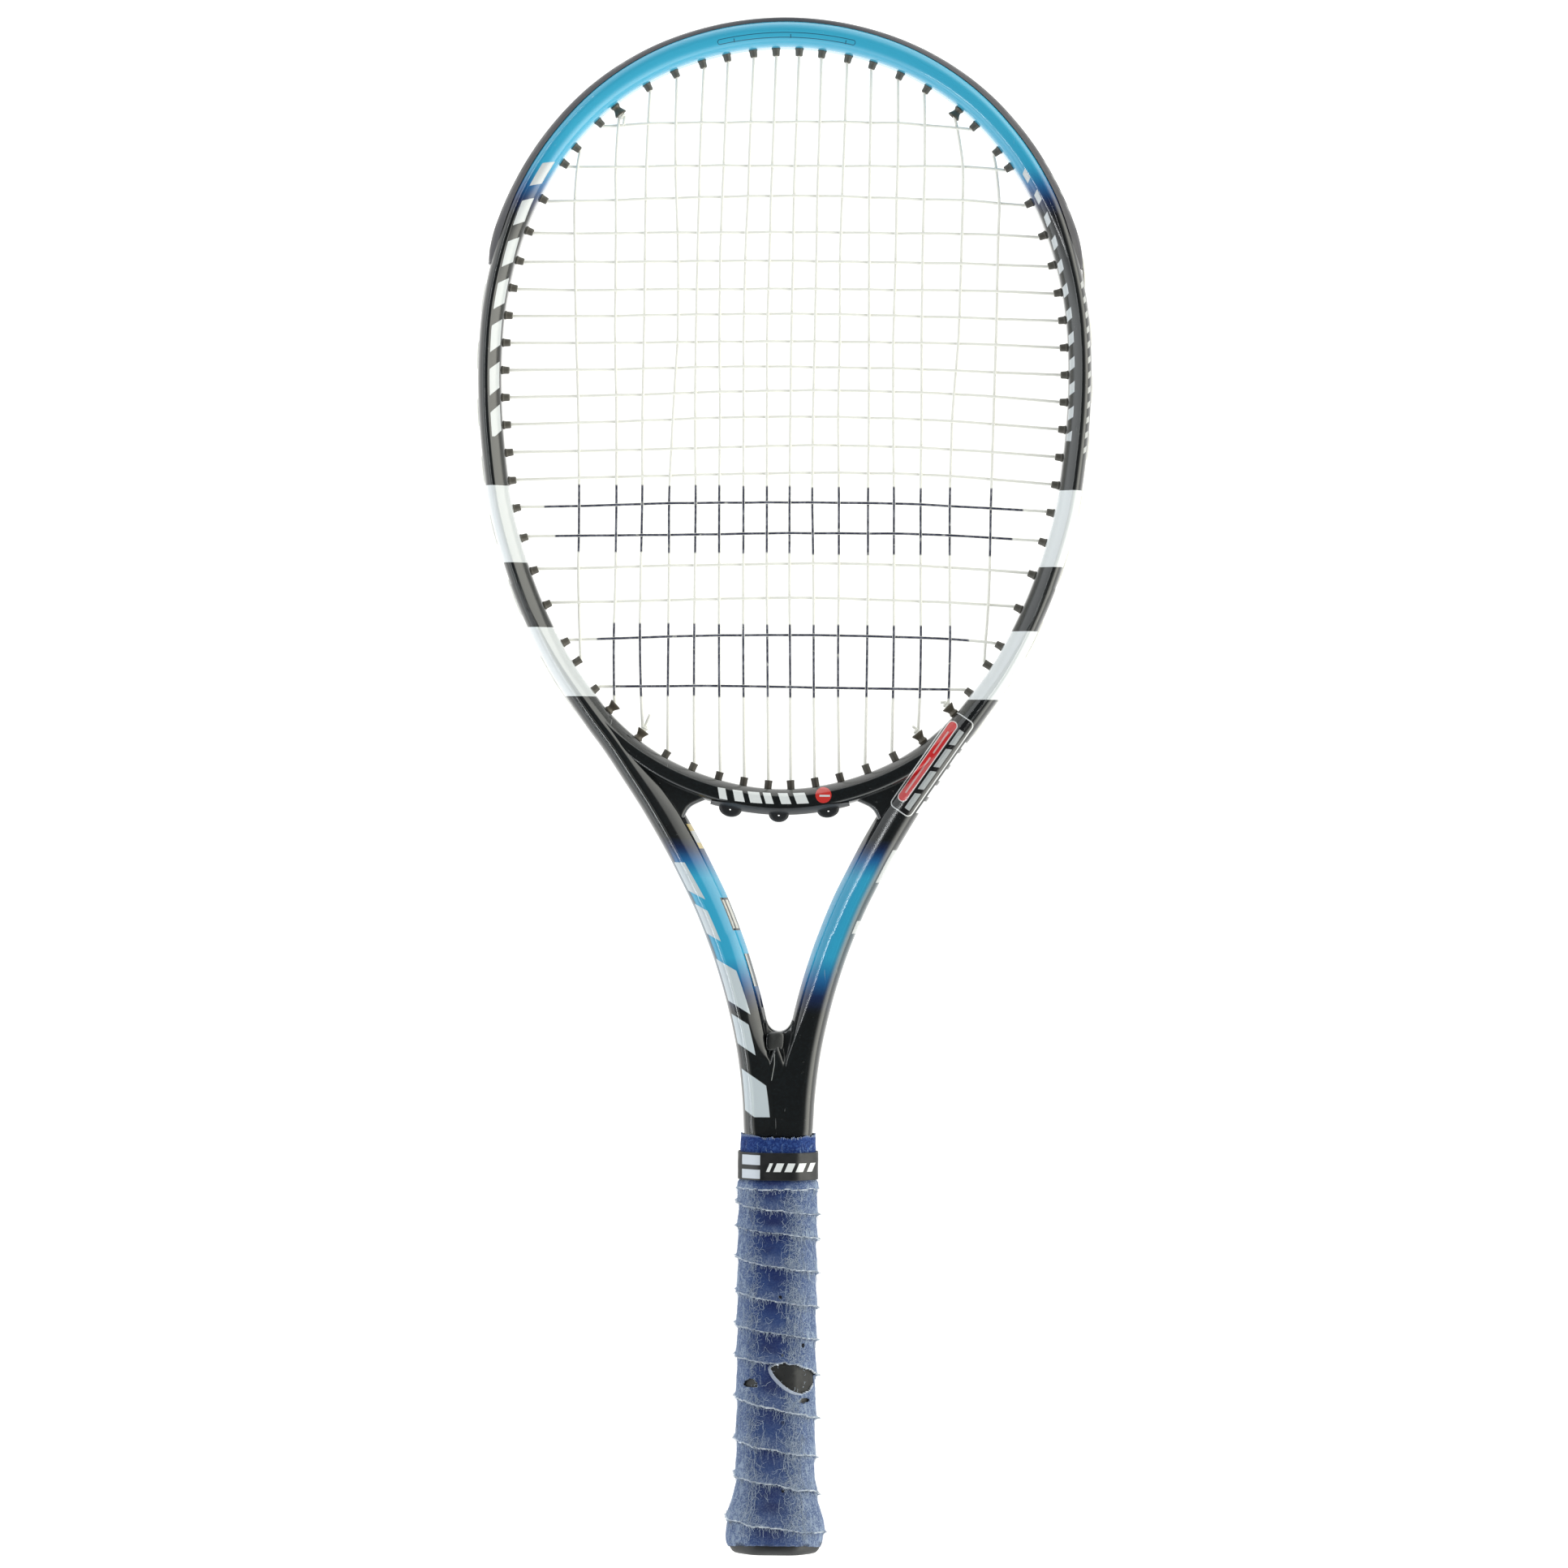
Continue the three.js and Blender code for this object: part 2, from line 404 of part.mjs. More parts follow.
const C = [knotAt('Lt7', -0.6, -2.0), turn3('Lt7', -0.95), out3('Lt7', -0.95), out3('Lc1', 0)];
const mains = [];
for (let i = 8; i >= 1; i--) mains.push([i, 'L']);
for (let i = 1; i <= 8; i++) mains.push([i, 'R']);
for (let c = 1; c <= 19; c++) {
  const right = c % 2 === 1;           // runs to the right
  const a = (right ? 'L' : 'R') + 'c' + c, b = (right ? 'R' : 'L') + 'c' + c;
  if (c > 1) C.push(out3(a, 0));
  C.push(turn3(a));
  const list = mains.map(([i, side], j) => ({ i, side, j }));
  if (!right) list.reverse();
  for (const { i, side, j } of list) {
    let x = mainX(i, side, crossY(c, mainX(i, side, HEAD_Y)));
    const y = crossY(c, x);
    x = mainX(i, side, y);
    const limit = holes['Rc' + c].turn.x - 3.0;
    const top = holes[side + 't' + i].turn.y, bot = holes[side + 'b' + i].turn.y;
    if (Math.abs(x) > limit || y > top - 1.5 || y < bot + 1.5) continue;
    const lift = c === 19 ? WEAVE + 0.25 : WEAVE;   // the lowest cross clears the tied mains
    C.push(new THREE.Vector3(x, y, (c + j) % 2 ? lift : -lift));
  }
  C.push(turn3(b), out3(b, 0));
  if (b === 'Rc1') C.push(out3('Rt8', -1.6));
  if (b === 'Rc5') { const e = edgeAt(sAtAngle(BUMPER_DEG + 0.3)); C.push(v3(e.p.clone().add(e.n.clone().multiplyScalar(2.05)))); }
  if (b === 'Lc18') C.push(out3('Lb8', -1.6));
}
C.push(out3('Rb7', 0.95), turn3('Rb7', 0.95), knotAt('Rb7', 0.6, 2.0));
let crossString = sweep(C, STRING_R);
// knots of the cross string wrap a main, with a clear hole round it
const around = k => {
  const [a, b] = k === 'Lt7' ? mainRun(7, 'L', true, 0.95, 0) : mainRun(7, 'R', false, -0.95, 0);
  const along = b.clone().sub(a).normalize();
  return rod(a.clone().addScaledVector(along, -3), a.clone().addScaledVector(along, 9), STRING_R + 0.34, 6);
};
crossString = unite([crossString, ball(knotAt('Lt7', -0.25, -2.3), 1.9, 0.85).subtract(around('Lt7')),
  ball(knotAt('Rb7', 0.25, 2.3), 1.9, 0.85).subtract(around('Rb7'))]);

// ---------------------------------------------------------------- handle
// eight-sided sleeve section, d inward from the finished grip surface
const octRing = (d, y) => {
  const A = 17.0 - d, B = 14.2 - d, K = 23.0 - Math.SQRT2 * d;
  const q = [[A, K - A], [K - B, B]];
  const half = [...q, ...q.slice().reverse().map(([x, z]) => [-x, z])];
  return [...half, ...half.slice().reverse().map(([x, z]) => [x, -z])].map(([x, z]) => new THREE.Vector3(x, y, z));
};
const octLoft = rows => loft(rows.map(([y, d]) => octRing(d, y)));
const flare = [[6.2, -3.2], [8, -4.0], [13.9, -4.05], [17, -3.2], [22.6, -1.65], [30, 0]];
const shift = (rows, d) => rows.map(([y, v]) => [y, v + d]);

const pallet = octLoft([[5.0, 4.1], [36, 4.1], [37, 2.3], [176.5, 2.3]])
  .subtract(loft([[-5, 11.35, 8.35], [190, 11.35, 8.35]].map(([y, w, d]) =>
    [[w, d], [-w, d], [-w, -d], [w, -d]].map(([x, z]) => new THREE.Vector3(x, y, z)))));

const baseGrip = octLoft([...shift(flare, 0.85), [157, 0.85], [160, 1.45], [172, 1.45], [177.3, 1.6]])
  .subtract(octLoft([[5.2, -1.0], ...shift(flare, 2.0).slice(0), [36, 2.0], [180, 2.0]]));
const overgrip = octLoft([...flare, [158.5, 0], [159.6, 0.7], [172.7, 0.7], [173.8, 0.35], [GRIP_TOP, 0.35]])
  .subtract(octLoft([[5.2, -2.2], ...shift(flare, 0.55), [157, 0.55], [160, 1.15], [172.5, 1.15], [173.5, 0.9], [182, 0.9]]));
const tape = octLoft([[TAPE_Y[0], -0.05], [TAPE_Y[1], -0.05]]).subtract(octLoft([[150, 0.4], [180, 0.4]]));

let cap = octLoft([[0, -1.6], [1.5, -2.8], [4.6, -3.3], [5.9, -3.3], [6.0, -1.1], [8, -1.7], [13.9, -1.75], [17, -0.9], [22.6, 0.65], [30, 2.3], [36, 2.3]])
  .subtract(octLoft([[3.2, 3.8], [40, 3.8]]));
const doorHole = new THREE.CylinderGeometry(9.5, 9.5, 8, 24);
const door = new THREE.CylinderGeometry(9.2, 9.2, 2.9, 24);
door.translate(0, 1.45, 0);
cap = cap.subtract(toManifold(doorHole));

// two wire staples hold the cap on the pallet, one in each side
const box = (x0, x1, y0, y1, z0, z1) => { const g = new THREE.BoxGeometry(x1 - x0, y1 - y0, z1 - z0); g.translate((x0 + x1) / 2, (y0 + y1) / 2, (z0 + z1) / 2); return g; };
function staple(sx, grow) {
  const s = (a, b) => (sx > 0 ? [a, b] : [-b, -a]);
  const parts = [];
  const [c0, c1] = s(13.75 - grow, 14.4 + (grow ? 2 : 0));
  parts.push(toManifold(box(c0, c1, 31.5 - grow, 32.5 + grow, -4.0 - grow, 4.0 + grow)));
  for (const z of [-3.5, 3.5]) {
    const [l0, l1] = s(11.75 - grow, 14.2);
    parts.push(toManifold(box(l0, l1, 31.5 - grow, 32.5 + grow, z - 0.5 - grow, z + 0.5 + grow)));
  }
  return unite(parts);
}
cap = cap.subtract(staple(1, GAP)).subtract(staple(-1, GAP));
const palletDrilled = pallet.subtract(staple(1, GAP)).subtract(staple(-1, GAP));

// ---------------------------------------------------------------- scene graph
const group = new THREE.Group();
group.name = 'tennis_racket';
function piece(name, geometry, color, roughness, metalness = 0) {
  const mesh = new THREE.Mesh(geometry, new THREE.MeshStandardMaterial({ color, roughness, metalness }));
  mesh.name = name;
  group.add(mesh);
}
piece('frame', toGeometry(frameSolid), 0x101418, 0.18);
piece('bumper_guard', toGeometry(bumper), 0x2a2c2f, 0.6);
piece('side_grommets_left', toGeometry(sideLeft), 0x1b1c1e, 0.55);
piece('side_grommets_right', toGeometry(sideRight), 0x1b1c1e, 0.55);
piece('bridge_grommets', toGeometry(bridgeStrip), 0x1b1c1e, 0.55);
piece('main_string', toGeometry(mainString), 0xe8e4da, 0.4);
piece('cross_string', toGeometry(crossString), 0xe8e4da, 0.4);
piece('handle_pallet', toGeometry(palletDrilled), 0x3a3a3a, 0.8);
piece('base_grip', toGeometry(baseGrip), 0x15161a, 0.8);
piece('overgrip', toGeometry(overgrip), 0x4a62a8, 0.9);
piece('finishing_tape', toGeometry(tape), 0x121316, 0.5);
piece('butt_cap', toGeometry(cap), 0x151618, 0.6);
piece('butt_door', door, 0x202226, 0.55);
piece('cap_staple_left', toGeometry(staple(-1, 0)), 0xb8bcc0, 0.35, 1);
piece('cap_staple_right', toGeometry(staple(1, 0)), 0xb8bcc0, 0.35, 1);

export default group;
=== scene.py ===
import math
import random

import bmesh
import bpy
import numpy as np
from mathutils import Matrix, Vector, noise


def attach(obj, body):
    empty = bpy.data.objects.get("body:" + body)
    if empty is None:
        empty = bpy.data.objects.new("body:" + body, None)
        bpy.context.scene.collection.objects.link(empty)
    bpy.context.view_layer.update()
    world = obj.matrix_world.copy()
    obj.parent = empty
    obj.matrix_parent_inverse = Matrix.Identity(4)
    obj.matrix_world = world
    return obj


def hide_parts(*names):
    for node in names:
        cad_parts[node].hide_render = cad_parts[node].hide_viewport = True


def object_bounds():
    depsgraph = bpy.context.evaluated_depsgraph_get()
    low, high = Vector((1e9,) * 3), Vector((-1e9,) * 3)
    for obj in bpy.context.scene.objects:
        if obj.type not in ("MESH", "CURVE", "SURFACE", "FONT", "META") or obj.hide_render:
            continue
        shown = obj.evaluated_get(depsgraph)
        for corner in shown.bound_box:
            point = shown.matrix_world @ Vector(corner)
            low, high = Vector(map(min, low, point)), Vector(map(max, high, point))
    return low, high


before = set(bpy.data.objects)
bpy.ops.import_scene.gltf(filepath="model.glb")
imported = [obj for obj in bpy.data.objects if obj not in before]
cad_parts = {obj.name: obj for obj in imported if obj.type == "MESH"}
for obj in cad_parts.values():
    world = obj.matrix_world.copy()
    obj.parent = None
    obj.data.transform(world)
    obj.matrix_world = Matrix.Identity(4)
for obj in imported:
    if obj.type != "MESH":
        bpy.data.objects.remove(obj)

CAD_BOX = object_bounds()
SCN = bpy.context.scene
MM = 0.001
K = 0.3483                      # millimetres that one unit of the layout tables stands for

# ------------------------------------------------------------------ curves of the racket, millimetres, row frame
HEAD_Y = 491.1
INNER_R = [(v + 0.6) * K for v in (447.8, 446.0, 440.8, 430.9, 416.0, 398.8, 381.5, 366.5, 354.5, 348.2, 348.2,
                                   355.4, 366.1, 382.6, 404.2, 428.9, 449.6, 461.4, 466.4)]
EDGE = [(83.42, 353.5), (78.2, 346.6), (73.3, 339.6), (68.7, 332.6), (64.1, 325.7), (59.6, 318.7), (55.4, 311.7),
        (51.4, 304.8), (47.5, 297.8), (43.9, 290.8), (40.4, 283.9), (37.0, 276.9), (34.0, 269.9), (31.3, 263.0),
        (28.7, 256.0), (26.4, 249.0), (24.3, 242.1), (22.4, 235.1), (20.7, 228.1), (19.2, 221.2), (17.9, 214.2),
        (16.9, 207.3), (16.1, 200.3), (15.5, 193.3), (15.15, 186.3), (14.8, 180.9), (14.1, 177.3)]


def inner_radius(deg):
    d = abs(((deg + 180) % 360 + 360) % 360 - 180)
    f = d / 10
    i = min(17, int(f))
    t = f - i

    def g(k):
        return INNER_R[-k if k < 0 else (36 - k if k > 18 else k)]
    a, b, c, e = g(i - 1), g(i), g(i + 1), g(i + 2)
    return b + 0.5 * t * (c - a + t * (2 * a - 5 * b + 4 * c - e + t * (3 * (b - c) + e - a)))


def inner_point(deg):
    r, a = inner_radius(deg), math.radians(deg)
    return np.array([r * math.sin(a), HEAD_Y + r * math.cos(a)])


def inner_normal(deg):
    t = inner_point(deg + 0.5) - inner_point(deg - 0.5)
    t /= np.linalg.norm(t)
    return np.array([-t[1], t[0]])


def hoop_width(deg):
    return float(np.interp(abs(deg), [0, 122, 132, 140, 180], [10.1, 10.1, 10.4, 10.7, 10.7]))


def centripetal(ctrl, per):
    """Dense points on a centripetal Catmull-Rom curve."""
    c = [np.array(p, float) for p in ctrl]
    c = [2 * c[0] - c[1]] + c + [2 * c[-1] - c[-2]]
    out = []
    for i in range(1, len(c) - 2):
        p0, p1, p2, p3 = c[i - 1:i + 3]
        d0, d1, d2 = (max(1e-4, np.linalg.norm(b - a) ** 0.5) for a, b in ((p0, p1), (p1, p2), (p2, p3)))
        t1 = ((p1 - p0) / d0 - (p2 - p0) / (d0 + d1) + (p2 - p1) / d1) * d1
        t2 = ((p2 - p1) / d1 - (p3 - p1) / (d1 + d2) + (p3 - p2) / d2) * d1
        for k in range(per):
            t = k / per
            out.append(p1 + t1 * t + (-3 * p1 + 3 * p2 - 2 * t1 - t2) * t * t + (2 * p1 - 2 * p2 + t1 + t2) * t ** 3)
    out.append(c[-2])
    return np.array(out)


ctrl = []
for d in range(0, 141, 10):
    p = inner_point(d) + inner_normal(d) * hoop_width(d)
    ctrl.append([0.0 if d == 0 else p[0], p[1]])
ctrl += [list(e) for e in EDGE]
pts = centripetal([[-x, y] for x, y in ctrl[3:0:-1]] + ctrl, 60)
pts = pts[3 * 60:]
seg = np.r_[0, np.cumsum(np.linalg.norm(np.diff(pts, axis=0), axis=1))]
S_END = float(seg[-1])


def edge_at(s):
    """Point, outward normal of the right half's outer edge at arc length s from the tip."""
    s = min(max(s, 0.0), S_END)
    p = np.array([np.interp(s, seg, pts[:, 0]), np.interp(s, seg, pts[:, 1])])
    a, b = max(s - 0.6, 0), min(s + 0.6, S_END)
    t = np.array([np.interp(b, seg, pts[:, 0]) - np.interp(a, seg, pts[:, 0]),
                  np.interp(b, seg, pts[:, 1]) - np.interp(a, seg, pts[:, 1])])
    if s < 0.6:
        t = np.array([1.0, 0.0])
    t /= np.linalg.norm(t)
    return p, np.array([-t[1], t[0]])


ang_tab = np.degrees(np.arctan2(pts[:, 0], pts[:, 1] - HEAD_Y))


def s_at_angle(deg):
    return float(np.interp(deg, ang_tab, seg))


i_low = int(np.argmax(ang_tab > 100))


def s_at_y(y):
    return float(np.interp(-y, -pts[i_low:, 1], seg[i_low:]))


S_BUMP, S_STRIP = s_at_angle(64), s_at_y(314.5)
WT = ([0, s_at_angle(122), s_at_angle(140), s_at_y(340), s_at_y(312), S_END], [10.1, 10.1, 10.7, 12.2, 15.0, 15.0])
DT = ([0, s_at_angle(120), s_at_angle(150), s_at_y(290), s_at_y(225), s_at_y(186), S_END], [11.2, 11.2, 12.0, 12.0, 11.3, 10.55, 9.6])
GT = ([0, S_STRIP + 1.5, s_at_y(308), S_END], [2.2, 2.2, 0.03, 0.03])
RT = ([0, s_at_angle(122), s_at_y(310), S_END], [4.1, 4.1, 4.7, 4.5])       # ridge, from the outer edge
QT = ([0, s_at_angle(128), s_at_y(312), S_END], [0, 0, 1, 1])               # 0 hoop section, 1 arm section
AT = ([0, s_at_angle(140), s_at_y(312), S_END], [0, 0, 1, 1])               # 1 where the arm has its broad inner bevel
BT = ([0, s_at_angle(44), s_at_angle(72), s_at_angle(118), s_at_angle(136), S_END], [0, 0, 0.12, 0.12, 1, 1])     # strength of the ridge line
ST = ([0, s_at_angle(44), s_at_angle(72), S_END], [1, 1, 0, 0])             # 1 where the section is rounder, at the tip
GROW = ([0, s_at_angle(52), s_at_angle(63.5), S_END], [1.0, 1.0, 0.0, 0.0])   # the tube fills the guard's hollow at the tip


def half_section(W, b, g, R, q, rb=1.0, arm_band=0.80, qw=0.0, sf=0.0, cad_=0.0, ft=0.37):
    """Upper half of the tube section, (x from the outer edge inwards, height), from groove floor to inner wall."""
    w0, p = 3.45, 2.15
    up = [(g, 0.0), (g, 1.2), (g, 2.25), (g * 0.92, 2.5), (g * 0.5, 2.85), (g * 0.12, 3.1), (0.0, w0)]
    for f in (0.012, 0.045, 0.1, 0.18, 0.28, 0.4, 0.53, 0.66, 0.77, 0.88):
        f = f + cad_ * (1 - 0.82 / R - f) if f > 0.8 else f
        up.append((R * f, w0 + (b - w0) * (1 - (1 - f) ** p) ** (1 / p)))
    soft_bead = [(R - 0.30, b - 0.035), (R - 0.20, b - 0.02 + 0.07 * rb), (R - 0.06, b + 0.12 * rb), (R + 0.06, b + 0.12 * rb),
                 (R + 0.20, b - 0.02 + 0.07 * rb), (R + 0.30, b - 0.045)]
    h1 = b - 0.11 + 0.08 * math.tan(ft + 0.03)          # ridge with a narrow flat on its outer side, tilted by ft
    h2 = h1 + 0.32 * math.tan(ft + 0.006)
    h3 = h2 + 0.30 * math.tan(ft - 0.010)
    flat_bead = [(R - 0.70, b - 0.11), (R - 0.62, h1), (R - 0.30, h2), (R, h3), (R + 0.10, h3 + 0.002), (R + 0.33, b - 0.045)]
    up += [(a[0] + (c[0] - a[0]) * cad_, a[1] + (c[1] - a[1]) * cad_) for a, c in zip(soft_bead, flat_bead)]
    xb = R + 0.55 + q * (W * arm_band - R - 0.55)      # end of the front band
    hb = b * (0.985 - 0.02 * q)
    for t in (0.12, 0.32, 0.55, 0.78, 0.93):
        x = R + 0.3 + (xb - R - 0.3) * t
        up.append((x, b - 0.05 + (hb - b + 0.05) * (t ** 1.5)))
    up.append((xb, hb - 0.02))
    xe, he = W - 0.75 + 0.2 * q * (1 - qw) - 1.6 * qw, b * (0.60 - 0.02 * q)
    xe = max(xe, xb + 0.9)
    he += qw * (hb - 0.53 * (xe - xb) - he)
    for t in (0.06, 0.14, 0.28, 0.44, 0.6, 0.76, 0.9, 1.0):
        bulge = (0.22 - 0.08 * qw) * math.sin(math.pi * t)
        up.append((xb + (xe - xb) * t + bulge * 0.6, hb + (he - hb) * t + bulge * 0.8))
    up += [(xe + (W - xe) * (0.42 - 0.1 * qw), he - 0.62 - 0.6 * qw), (xe + (W - xe) * (0.75 - 0.12 * qw), he - 1.5 - 1.4 * qw),
           (xe + (W - xe) * 0.95, he - 2.7 - 2.2 * qw),
           (W, he * 0.42), (W, 0.0)]
    if sf > 0.0:                                        # rounder, ridge-free section at the tip of the head
        soft = []
        for x, h in up:
            if h > 3.3:
                u = min(1.0, abs(2 * x / W - 1))
                e = 3.3 + (b - 3.3) * (1 - u ** 2.5) ** 0.5
                h = h + (e - h) * sf * 0.8
            soft.append((x, h))
        up = soft
    return up


def ring_from(p, n, up):
    full = [(x, w) for x, w in up] + [(x, -w) for x, w in up[-2:0:-1]]
    return [(p[0] - n[0] * x, p[1] - n[1] * x, w) for x, w in full], [x for x, _ in full]


class Build:
    """Collects vertices and faces in millimetres, with float attributes, and makes one object."""

    def __init__(self):
        self.v, self.f, self.m, self.a = [], [], [], {}
        self.n = 0

    def add(self, verts, faces, mat=0, **attrs):
        verts = np.asarray(verts, float).reshape(-1, 3)
        k = len(verts)
        for name in set(self.a) | set(attrs):
            if name not in self.a:
                self.a[name] = [np.zeros(self.n)]
            self.a[name].append(np.asarray(attrs[name], float).reshape(-1) if name in attrs else np.zeros(k))
        self.v.append(verts)
        self.f += [tuple(int(i) + self.n for i in f) for f in faces]
        self.m += [mat] * len(faces)
        self.n += k
        return self

    def obj(self, name, mats, slot, replaces=(), sharp=None, smooth=True):
        me = bpy.data.meshes.new(name)
        me.from_pydata((np.concatenate(self.v) * MM).tolist(), [], self.f)
        for m in mats:
            me.materials.append(m)
        if len(mats) > 1:
            me.polygons.foreach_set("material_index", self.m)
        for key, parts in self.a.items():
            at = me.attributes.new(key, "FLOAT", "POINT")
            at.data.foreach_set("value", np.concatenate(parts).astype(np.float32))
        bm = bmesh.new()
        bm.from_mesh(me)
        bmesh.ops.recalc_face_normals(bm, faces=bm.faces)
        bm.to_mesh(me)
        bm.free()
        me.polygons.foreach_set("use_smooth", [smooth] * len(me.polygons))
        if sharp:
            me.set_sharp_from_angle(angle=math.radians(sharp))
        me.update()
        ob = bpy.data.objects.new(name, me)
        SCN.collection.objects.link(ob)
        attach(ob, "root")
        if replaces:
            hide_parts(*replaces)
        return ob


def loft(rings, caps=True, closed=False):
    """Faces for a row of closed rings with the same count."""
    R, N = len(rings), len(rings[0])
    faces = []
    for i in range(R if closed else R - 1):
        k = (i + 1) % R
        for j in range(N):
            l = (j + 1) % N
            faces.append((i * N + j, i * N + l, k * N + l, k * N + j))
    if caps and not closed:
        faces.append(tuple(range(N)))
        faces.append(tuple((R - 1) * N + j for j in reversed(range(N))))
    return np.array(rings, float).reshape(-1, 3), faces


def lathe(profile, origin, axis, seg=20):
    """Closed profile [(r, h)] turned about axis through origin."""
    ax = np.array(axis, float)
    ax /= np.linalg.norm(ax)
    ref = np.array([0, 0, 1.0]) if abs(ax[2]) < 0.8 else np.array([1.0, 0, 0])
    e1 = np.cross(ax, ref)
    e1 /= np.linalg.norm(e1)
    e2 = np.cross(ax, e1)
    rings = []
    for r, h in profile:
        rings.append([np.array(origin) + ax * h + (e1 * math.cos(a) + e2 * math.sin(a)) * r
                      for a in (2 * math.pi * k / seg for k in range(seg))])
    v, f = loft(rings, caps=False, closed=True)
    return v, f


def tube(P, r, sides=8, caps=True, radii=None):
    P = np.asarray(P, float)
    d = np.diff(P, axis=0)
    d /= np.maximum(np.linalg.norm(d, axis=1, keepdims=True), 1e-9)
    t = np.vstack([d[:1], d[:-1] + d[1:], d[-1:]])
    t /= np.maximum(np.linalg.norm(t, axis=1, keepdims=True), 1e-9)
    n = np.cross(t[0], [0, 0, 1.0])
    if np.linalg.norm(n) < 1e-3:
        n = np.cross(t[0], [1.0, 0, 0])
    n /= np.linalg.norm(n)
    rings = []
    ca = np.cos(2 * np.pi * np.arange(sides) / sides)[:, None]
    sa = np.sin(2 * np.pi * np.arange(sides) / sides)[:, None]
    for i in range(len(P)):
        n = n - t[i] * np.dot(n, t[i])
        n /= max(np.linalg.norm(n), 1e-9)
        b = np.cross(t[i], n)
        rr = r if radii is None else radii[i]
        rings.append(P[i] + (ca * n + sa * b) * rr)
    return loft(rings, caps)


def round_corners(P, r=1.3, steps=4):
    """Softens the sharp turns of a polyline."""
    P = [np.array(p, float) for p in P]
    out = [P[0]]
    for i in range(1, len(P) - 1):
        a, b = P[i - 1] - P[i], P[i + 1] - P[i]
        la, lb = np.linalg.norm(a), np.linalg.norm(b)
        if la < 1e-6 or lb < 1e-6:
            continue
        if np.dot(a, b) / (la * lb) < -0.93:
            out.append(P[i])
            continue
        qa, qb = P[i] + a / la * min(r, la * 0.45), P[i] + b / lb * min(r, lb * 0.45)
        for k in range(steps + 1):
            t = k / steps
            out.append(qa * (1 - t) ** 2 + P[i] * 2 * t * (1 - t) + qb * t * t)
    out.append(P[-1])
    return out


def spline(P, step=2.0):
    """Dense smooth curve through 3-D points."""
    P = np.asarray(P, float)
    c = np.vstack([2 * P[0] - P[1], P, 2 * P[-1] - P[-2]])
    out = []
    for i in range(1, len(c) - 2):
        n = max(2, int(np.linalg.norm(c[i + 1] - c[i]) / step))
        for k in range(n):
            t = k / n
            a, b, d, e = c[i - 1:i + 3]
            out.append(b + 0.5 * t * (d - a + t * (2 * a - 5 * b + 4 * d - e + t * (3 * (b - d) + e - a))))
    out.append(P[-1])
    return np.array(out)


# ------------------------------------------------------------------ node helper
class V:
    def __init__(self, g, s):
        self.g, self.s = g, s

    def __add__(self, o): return self.g.m("ADD", self, o)
    def __radd__(self, o): return self.g.m("ADD", self, o)
    def __sub__(self, o): return self.g.m("SUBTRACT", self, o)
    def __rsub__(self, o): return self.g.m("SUBTRACT", o, self)
    def __mul__(self, o): return self.g.m("MULTIPLY", self, o)
    def __rmul__(self, o): return self.g.m("MULTIPLY", self, o)
    def __truediv__(self, o): return self.g.m("DIVIDE", self, o)


